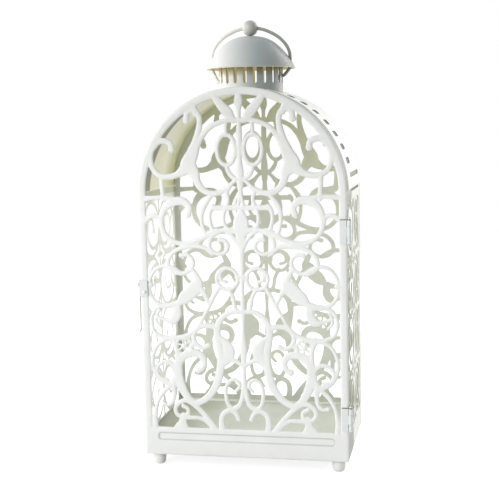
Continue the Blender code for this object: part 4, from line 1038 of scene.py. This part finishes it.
# Floor tray with folded edges, its feet and their screws
IN_X = HALF - SHEET - GAP
TRAY_YF = BODY_YF + BEAD_DEPTH
# The tray's upward faces take the painted shade of its inside coat
tray = piece("floor_tray", box(-IN_X, TRAY_YF, Z0, IN_X, BODY_YB, Z0 + FLOOR_Z), "body", ["base_tray"],
             [WHITE, TRAY_IN], pick=lambda f: 1 if f.normal.z > 0.5 else 0)
boolean(tray, box(-IN_X + SHEET, TRAY_YF + SHEET, Z0 - 5, IN_X - SHEET, BODY_YB - SHEET, Z0 + FLOOR_Z - SHEET),
        "tray_inside")
FOOT_X = HALF - 11
FOOT_Y = YB - 10.5
SCREW_R = 1.9
corners = (("front_left", -1, -1), ("front_right", 1, -1), ("rear_left", -1, 1), ("rear_right", 1, 1))
boolean(tray, merged([rod(SCREW_R + 0.3, Z0 + 10, Z0 + 30, 32, (sx * FOOT_X, sy * FOOT_Y, 0))
                      for _, sx, sy in corners]), "tray_holes")
bevel(tray, 0.5, 3)

foot_top = Z0 + FLOOR_Z - SHEET - GAP
foot_turned = curve([(3.4, 0.0), (4.6, 0.25), (5.5, 1.2), (6.2, 3.0), (6.45, 5.2), (6.5, 8.4), (6.4, 11.2)], 0.7)
foot_profile = [(0, 0)] + foot_turned + [(6.0, 11.9), (5.0, 12.0), (5.0, foot_top), (SCREW_R + 0.15, foot_top),
                                         (SCREW_R + 0.15, foot_top - 10), (0, foot_top - 10)]
head_z = Z0 + FLOOR_Z + GAP
HEAD_R = 3.4
HEAD_DOME = 1.85
CROSS_L = 2.2
CROSS_W = 0.35
for name, sx, sy in corners:
    at = (sx * FOOT_X, sy * FOOT_Y, 0)
    piece("turned_foot_" + name, lathe(foot_profile, 48, at), "body", ["foot_" + name], [WHITE])
    head = [(HEAD_R, head_z), (HEAD_R, head_z + 0.35)]
    head += [(HEAD_R * math.cos(a), head_z + 0.35 + HEAD_DOME * math.sin(a)) for a in (0.3, 0.6, 0.9, 1.2, 1.45)]
    screw = piece("screw_" + name, lathe([(0, foot_top - 9.5), (SCREW_R, foot_top - 9.5), (SCREW_R, head_z)] + head
                                         + [(0, head_z + 2.2)], 32, at), "body", ["foot_screw_" + name],
                  [STEEL])
    for cut, half_x, half_y in (("slot_a", CROSS_L, CROSS_W), ("slot_b", CROSS_W, CROSS_L)):
        boolean(screw, box(at[0] - half_x, at[1] - half_y, head_z + 1.2, at[0] + half_x, at[1] + half_y,
                           head_z + 4), cut)


# Domed cap
DOME_T = 1.0
dome_outer = curve([(r, rim_z + z) for r, z in
                    ((RIM_R, 0), (43.8, 2), (42.2, 5.2), (39.2, 10.2), (35.2, 15.6), (30.2, 20.8), (25.2, 25.2),
                     (19, 28.9), (12, 31.3), (6, 32.2), (2, DOME_RISE))], 1.6)
dome_inner = []
for i, (r, z) in enumerate(dome_outer):
    a = dome_outer[max(i - 1, 0)]
    b = dome_outer[min(i + 1, len(dome_outer) - 1)]
    d = math.hypot(b[0] - a[0], b[1] - a[1])
    dome_inner.append((r - (b[1] - a[1]) / d * DOME_T, z + (b[0] - a[0]) / d * DOME_T))
dome_inner[0] = (RIM_R - 1.3, rim_z + 0.15)
dome_inner[-1] = (2.0, top_z - DOME_T)
rim_round = [(RIM_R - 1.0, rim_z), (RIM_R - 0.35, rim_z)]
dome_outer[0] = (RIM_R, rim_z + 0.35)


def dome_side(f):
    """0 on the cap's outside, 1 on its inside and its rim."""
    c = f.calc_center_median()
    away = Vector((c.x, c.y, 0.02)).normalized()
    return 1 if f.normal.z < -0.02 or f.normal.dot(away) < -0.1 else 0


BORE_R = WIRE_R + 0.7
BAIL_X = 40.1
# The cap's inside and rim take the painted warm reflected light
cap = piece("cap_shell", lathe(dome_outer + dome_inner[::-1] + rim_round, 96), "body", ["dome"],
            [CAP, WARM_BOUNCE], 40, dome_side)
for sx in (-1, 1):
    boolean(cap, rod(BORE_R, rim_z - 3, rim_z + 14, 32, (sx * BAIL_X, 0, 0)), "cap_hole")

# Collar with its ring of slots
dome_low = [(r, z) for r, z in dome_inner if r <= COLLAR_R]
collar_top = min(dome_low, key=lambda p: COLLAR_R - p[0])[1] - GAP - 0.6
collar_low = crown_z + math.sqrt(HALF ** 2 - COLLAR_R ** 2) - 3.2
profile = [(COLLAR_R, collar_low), (COLLAR_R, collar_top - 0.3), (COLLAR_R - 0.3, collar_top),
           (COLLAR_R - COLLAR_T + 0.3, collar_top), (COLLAR_R - COLLAR_T, collar_top - 0.3),
           (COLLAR_R - COLLAR_T, collar_low)]


def collar_side(f):
    """0 on the collar's outside, 1 elsewhere."""
    c = f.calc_center_median()
    return 1 if f.normal.dot(Vector((c.x, c.y, 0)).normalized()) < 0.5 else 0


# The collar's inside and slot walls take the painted warm reflected light
collar = piece("slotted_collar", lathe(profile, 120), "body", ["collar"], [COLLAR, WARM_BOUNCE], 40,
               collar_side)
boolean(collar, rod(HALF + GAP, YF, YB, 256, (0, 0, crown_z), "y"), "collar_saddle")
FINS = 20
FIN_SLOT_W = 2 * WIRE_R + 2 * GAP
SLOT_LOW = hook_z - WIRE_R - GAP
SLOT_HIGH = rim_z + 9.0
CUT = 4.0


def round_collar(make):
    """A cutter at each slot of the collar, all in one mesh."""
    cuts = []
    for k in range(FINS):
        b = make()
        turn = Matrix.Rotation(2 * math.pi * k / FINS, 3, "Z")
        bmesh.ops.rotate(b, cent=(0, 0, 0), matrix=turn, verts=b.verts[:])
        cuts.append(b)
    return merged(cuts)


boolean(collar, round_collar(lambda: box(COLLAR_R - CUT, -FIN_SLOT_W / 2, SLOT_LOW + 1.8, COLLAR_R + CUT,
                                         FIN_SLOT_W / 2, SLOT_HIGH)), "collar_slots")
boolean(collar, round_collar(lambda: rod(FIN_SLOT_W / 2, COLLAR_R - CUT, COLLAR_R + CUT, 24,
                                         (0, 0, SLOT_LOW + FIN_SLOT_W / 2), "x")), "collar_slot_ends")
bevel(collar, 0.2, 2)

# Ball, stem and nut
ball_low = top_z + GAP
ball_z = ball_low + BALL_R - 0.4
low = math.asin((ball_z - ball_low) / BALL_R)
STEM_R = 1.5
ball = [(0, top_z - 9.0), (1.3, top_z - 9.0), (STEM_R, top_z - 8.7), (STEM_R, ball_low)]
for k in range(33):
    a = -low + (math.pi / 2 + low) * k / 32
    ball.append((BALL_R * math.cos(a), ball_z + BALL_R * math.sin(a)))
ball[-1] = (0, ball_z + BALL_R)
finial = piece("ball_on_stem", lathe(ball, 64), "body", ["finial_ball"], [WIRE])
boolean(finial, rod(BORE_R, -20, 20, 32, (0, 0, ball_z), "x"), "ball_bore")
nut_top = top_z - DOME_T - GAP
NUT_R = 3.8
NUT_H = 3.0
nut = piece("stem_nut", lathe([(STEM_R + GAP, nut_top - NUT_H), (STEM_R + GAP, nut_top), (NUT_R, nut_top),
                               (NUT_R, nut_top - NUT_H)], 6), "body", ["finial_nut"], [STEEL], 20)
bevel(nut, 0.25, 2)


# Bail: from inside the collar, out through a slot, up through the cap and into the ball
def half_bail(low):
    """Right half of the wire as (out, up) in mm; low is the height where it leaves the collar."""
    reach = 39.5 - COLLAR_R - 1.2
    drop = rim_z - low
    pts = [(COLLAR_R - 5, low - 4.2), (COLLAR_R - 4.5, low - 1.4), (COLLAR_R - 2.6, low)]
    pts += [(COLLAR_R + 1.2 + reach * s, low + drop * t) for s, t in ((0, 0.03), (0.4, 0.34), (0.74, 0.69))]
    pts += [(r, rim_z + z)
            for r, z in ((39.5, 0), (40, 3.2), (40.1, 7.2), (40.1, 11.5), (39.5, 15.8), (38, 19.8), (35.8, 23.4),
                         (32.8, 27), (29, 30.4), (24.6, 33.4), (19.6, 36), (14.4, 38.2))]
    return curve(pts + [(9.0, ball_z - 0.6), (4.5, ball_z - 0.05), (0, ball_z)], 1.2)


wire = [(-u, 0, v) for u, v in half_bail(hook_z)]
wire += [(u, 0, v) for u, v in reversed(half_bail(hook_z + BAIL_STEP)[:-1])]
piece("wire_bail", tube(wire, WIRE_R, 20), "body", ["bail"], [WIRE], 50)

# Hinges
KNUCKLE_R = 2.0
PLAY = 0.15     # half of the gap between knuckles
SHY = 0.02      # keeps joined solids from sharing a face
PIN_R = 0.9
PIN_HEAD = 1.7
LEAF_W = 6.4
HINGES = (("upper", 213.0, 236.5), ("lower", 31.0, 54.5))
AXIS_X = HALF + GAP + KNUCKLE_R
AXIS_Y = YF - GAP - LEAF_T / 2 - 0.15


def joined(name, body, cad, parts, holes, groove=None):
    """A piece of sheet made from several solids, with its holes and a groove painted near-black as shade."""
    ob = piece(name, parts[0], body, [cad], [HINGE, GROOVE_SHADE], 30)
    for i, b in enumerate(parts[1:]):
        boolean(ob, b, "add" + str(i), "UNION")
    for i, b in enumerate(holes):
        boolean(ob, b, "hole" + str(i))
    # The groove is painted near-black as shade
    if groove:
        boolean(ob, groove, "groove", slot=1)
    bevel(ob, 0.16, 2)


def knuckle(a, b):
    return rod(KNUCKLE_R, a, b, 40, (AXIS_X, AXIS_Y, 0))


wall_x = HALF + GAP
plate_y = YF - GAP - LEAF_T
for tag, z0, z1 in HINGES:
    h = z1 - z0
    k1, k2 = Z0 + z0 + h * 0.3, Z0 + z0 + h * 0.7
    z0, z1 = Z0 + z0, Z0 + z1
    at = (AXIS_X, AXIS_Y, 0)
    joined("hinge_leaf_on_door_" + tag, "door", "hinge_door_leaf_" + tag,
           [box(HALF - LEAF_W, plate_y, z0, HALF - 0.2, YF - GAP, z1),
            box(HALF - 1.0, plate_y + SHY, k1 + PLAY, AXIS_X, YF - GAP - SHY, k2 - PLAY),
            knuckle(k1 + PLAY, k2 - PLAY)], [rod(PIN_R + GAP, z0 - 3, z1 + 3, 32, at)],
           box(HALF - LEAF_W - 1, plate_y - 1, z1 - 0.9, HALF + 9, plate_y + 0.5, z1 + 1))
    joined("hinge_leaf_on_body_" + tag, "body", "hinge_body_leaf_" + tag,
           [box(wall_x, BODY_YF, z0, wall_x + LEAF_T, YF + 13, z1),
            box(wall_x + SHY, AXIS_Y, z0 + SHY, wall_x + LEAF_T - SHY, BODY_YF + 1, k1 - PLAY),
            box(wall_x + SHY, AXIS_Y, k2 + PLAY, wall_x + LEAF_T - SHY, BODY_YF + 1, z1 - SHY),
            knuckle(z0, k1 - PLAY), knuckle(k2 + PLAY, z1)], [rod(PIN_R + GAP, z0 - 3, z1 + 3, 32, at)],
           lathe([(1.5, z1 - 0.8), (3, z1 - 0.8), (3, z1 + 1), (1.5, z1 + 1)], 32, at))
    pin = [(0, z0 - 1.1), (PIN_HEAD - 0.2, z0 - 1.1), (PIN_HEAD, z0 - 0.9), (PIN_HEAD, z0 - GAP), (PIN_R, z0 - GAP),
           (PIN_R, z1 + GAP), (PIN_HEAD, z1 + GAP), (PIN_HEAD - 0.05, z1 + 0.8), (PIN_HEAD - 0.4, z1 + 1.4),
           (0, z1 + 1.7)]
    piece("hinge_rod_" + tag, lathe(pin, 32, at), "body", ["hinge_pin_" + tag], [STEEL])

# Latch
LATCH_Z0 = 160.5
LATCH_Z1 = 176.5
RIVET_Z = 165.0
RIVET_X = -HALF + 4.0
face = plate_y - GAP
joined("latch_bracket", "door", "latch_angle",
       [box(EAR_X - LEAF_T, plate_y, Z0 + LATCH_Z0, -HALF + 7.0, YF - GAP, Z0 + LATCH_Z1),
        box(EAR_X - LEAF_T + 0.001, plate_y + 0.001, Z0 + LATCH_Z0 + 0.001, EAR_X, YF + 6.5, Z0 + LATCH_Z1 - 0.001)],
       [rod(RIVET_R + GAP, -5, 5, 32, (RIVET_X, YF, Z0 + RIVET_Z), "y"),
        rod(RIVET_R + GAP, -4, 4, 32, (EAR_X - 0.5, PIVOT_Y, Z0 + PIVOT_Z), "x")])
rivet = [(0, face - 1.1), (0.6, face - 1.05), (1.2, face - 0.8), (1.65, face - 0.4), (1.8, face), (RIVET_R, face),
         (RIVET_R, YF + PANEL), (0, YF + PANEL)]
piece("bracket_rivet", lathe(rivet, 32, (RIVET_X, 0, Z0 + RIVET_Z), "y"), "door", ["latch_rivet"],
      [PALE])

hook_grid = Grid(-76, 118, -54, 182, COARSE)
hook = paint(hook_grid, [disc((PIVOT_Y, PIVOT_Z), 3.0)])
shank = stroke([(PIVOT_Y, PIVOT_Z), (PIVOT_Y, 150), (PIVOT_Y, 131), (PIVOT_Y, 128), (PIVOT_Y - 1.2, 125.9),
                (PIVOT_Y - 3.2, TOE_Z), (PIVOT_Y - 4.2, TOE_Z)], HOOK_W, HOOK_W, HOOK_W, HOOK_W - 0.4)
hook = soft_max(hook, paint(hook_grid, shank))
hook = np.minimum(hook, np.hypot(hook_grid.U - PIVOT_Y, hook_grid.V - PIVOT_Z) - RIVET_R - GAP)
bm = sheet(hook_grid, hook, lambda u, v, w: (hook_x - LEAF_T + w, u, Z0 + v), lambda u, v: LEAF_T, (0.15, 0.4),
           lambda f, u, v: 0.3 * (1 - np.clip(f, 0, 0.4) / 0.4) ** 2, 0.0, (), 0.02)
piece("swing_hook", bm, "hook", ["latch_hook"], [PALE])
for name, body, cad, x_in, r, head, y, z in (
        ("hook_rivet", "door", "latch_pivot", EAR_X, RIVET_R, 2.0, PIVOT_Y, PIVOT_Z),
        ("wall_stud", "body", "latch_stud", -HALF + SHEET + 0.5, STUD_R, 2.4, stud_y, stud_z)):
    turned = [(0, x_in), (r, x_in), (r, x_out), (head, x_out), (head * 0.97, x_out - 0.4), (head * 0.7, x_out - 0.85),
              (0, x_out - 1.0)]
    piece(name, lathe(turned, 32, (0, y, Z0 + z), "x"), body, [cad], [PALE])


# Floor, world and lights

FLOOR_HALF = 1.6
FLOOR_GLOW = 0.8
SKY_STRENGTH = 0.40
MIDDLE = (0, 0, 0.22)


def seen_directly(nt):
    """1 for what the camera sees, itself or by a reflection or through glass."""
    rays = node(nt, "LightPath").outputs
    seen = node(nt, "Math", {0: rays["Is Camera Ray"], 1: rays["Is Glossy Ray"]}, "MAXIMUM")
    return node(nt, "Math", {0: seen.outputs[0], 1: rays["Is Transmission Ray"]}, "MAXIMUM").outputs[0]


def studio():
    """A floor and a world that look white, and light the lantern less than they look."""
    bm = bmesh.new()
    bmesh.ops.create_grid(bm, x_segments=1, y_segments=1, size=FLOOR_HALF)
    me = meshed("floor", bm)
    floor = placed("floor", me)
    m = bpy.data.materials.new("floor")
    m.use_nodes = True
    nt = m.node_tree
    nt.nodes.clear()
    plain = node(nt, "BsdfDiffuse", {"Color": (0.85, 0.85, 0.84, 1)})
    shade = node(nt, "BsdfDiffuse", {"Color": (0.42, 0.42, 0.42, 1)})
    glow = node(nt, "Emission", {"Strength": FLOOR_GLOW})
    both = node(nt, "AddShader", {0: shade.outputs[0], 1: glow.outputs[0]})
    mix = node(nt, "MixShader", {"Fac": seen_directly(nt), 1: plain.outputs[0], 2: both.outputs[0]})
    node(nt, "OutputMaterial", {"Surface": mix.outputs[0]})
    me.materials.append(m)

    world = bpy.data.worlds.new("studio")
    bpy.context.scene.world = world
    world.use_nodes = True
    nt = world.node_tree
    nt.nodes.clear()
    white = node(nt, "Background", {"Color": (1, 1, 1, 1)})
    soft = node(nt, "Background", {"Color": (0.90, 0.96, 1.0, 1), "Strength": SKY_STRENGTH})
    mix = node(nt, "MixShader", {"Fac": seen_directly(nt), 1: soft.outputs[0], 2: white.outputs[0]})
    node(nt, "OutputWorld", {"Surface": mix.outputs[0]})


def area(name, at, size, power, colour):
    """Square lamp aimed at the lantern's middle; metres and watts."""
    li = bpy.data.lights.new(name, "AREA")
    li.shape = "SQUARE"
    li.size = size
    li.energy = power
    li.color = colour
    ob = placed(name, li)
    ob.location = at
    ob.rotation_euler = (Vector(MIDDLE) - Vector(at)).to_track_quat("-Z", "Y").to_euler()


studio()
area("key", (-1.3, -1.5, 0.95), 1.3, 32.0, (1.0, 0.99, 0.97))
area("back", (1.2, 1.2, 1.0), 1.6, 26.0, (1.0, 0.98, 0.94))
area("left", (-1.8, 0.6, 0.7), 1.4, 16.0, (1.0, 0.99, 0.96))

scene = bpy.context.scene
scene.view_settings.view_transform = "Standard"
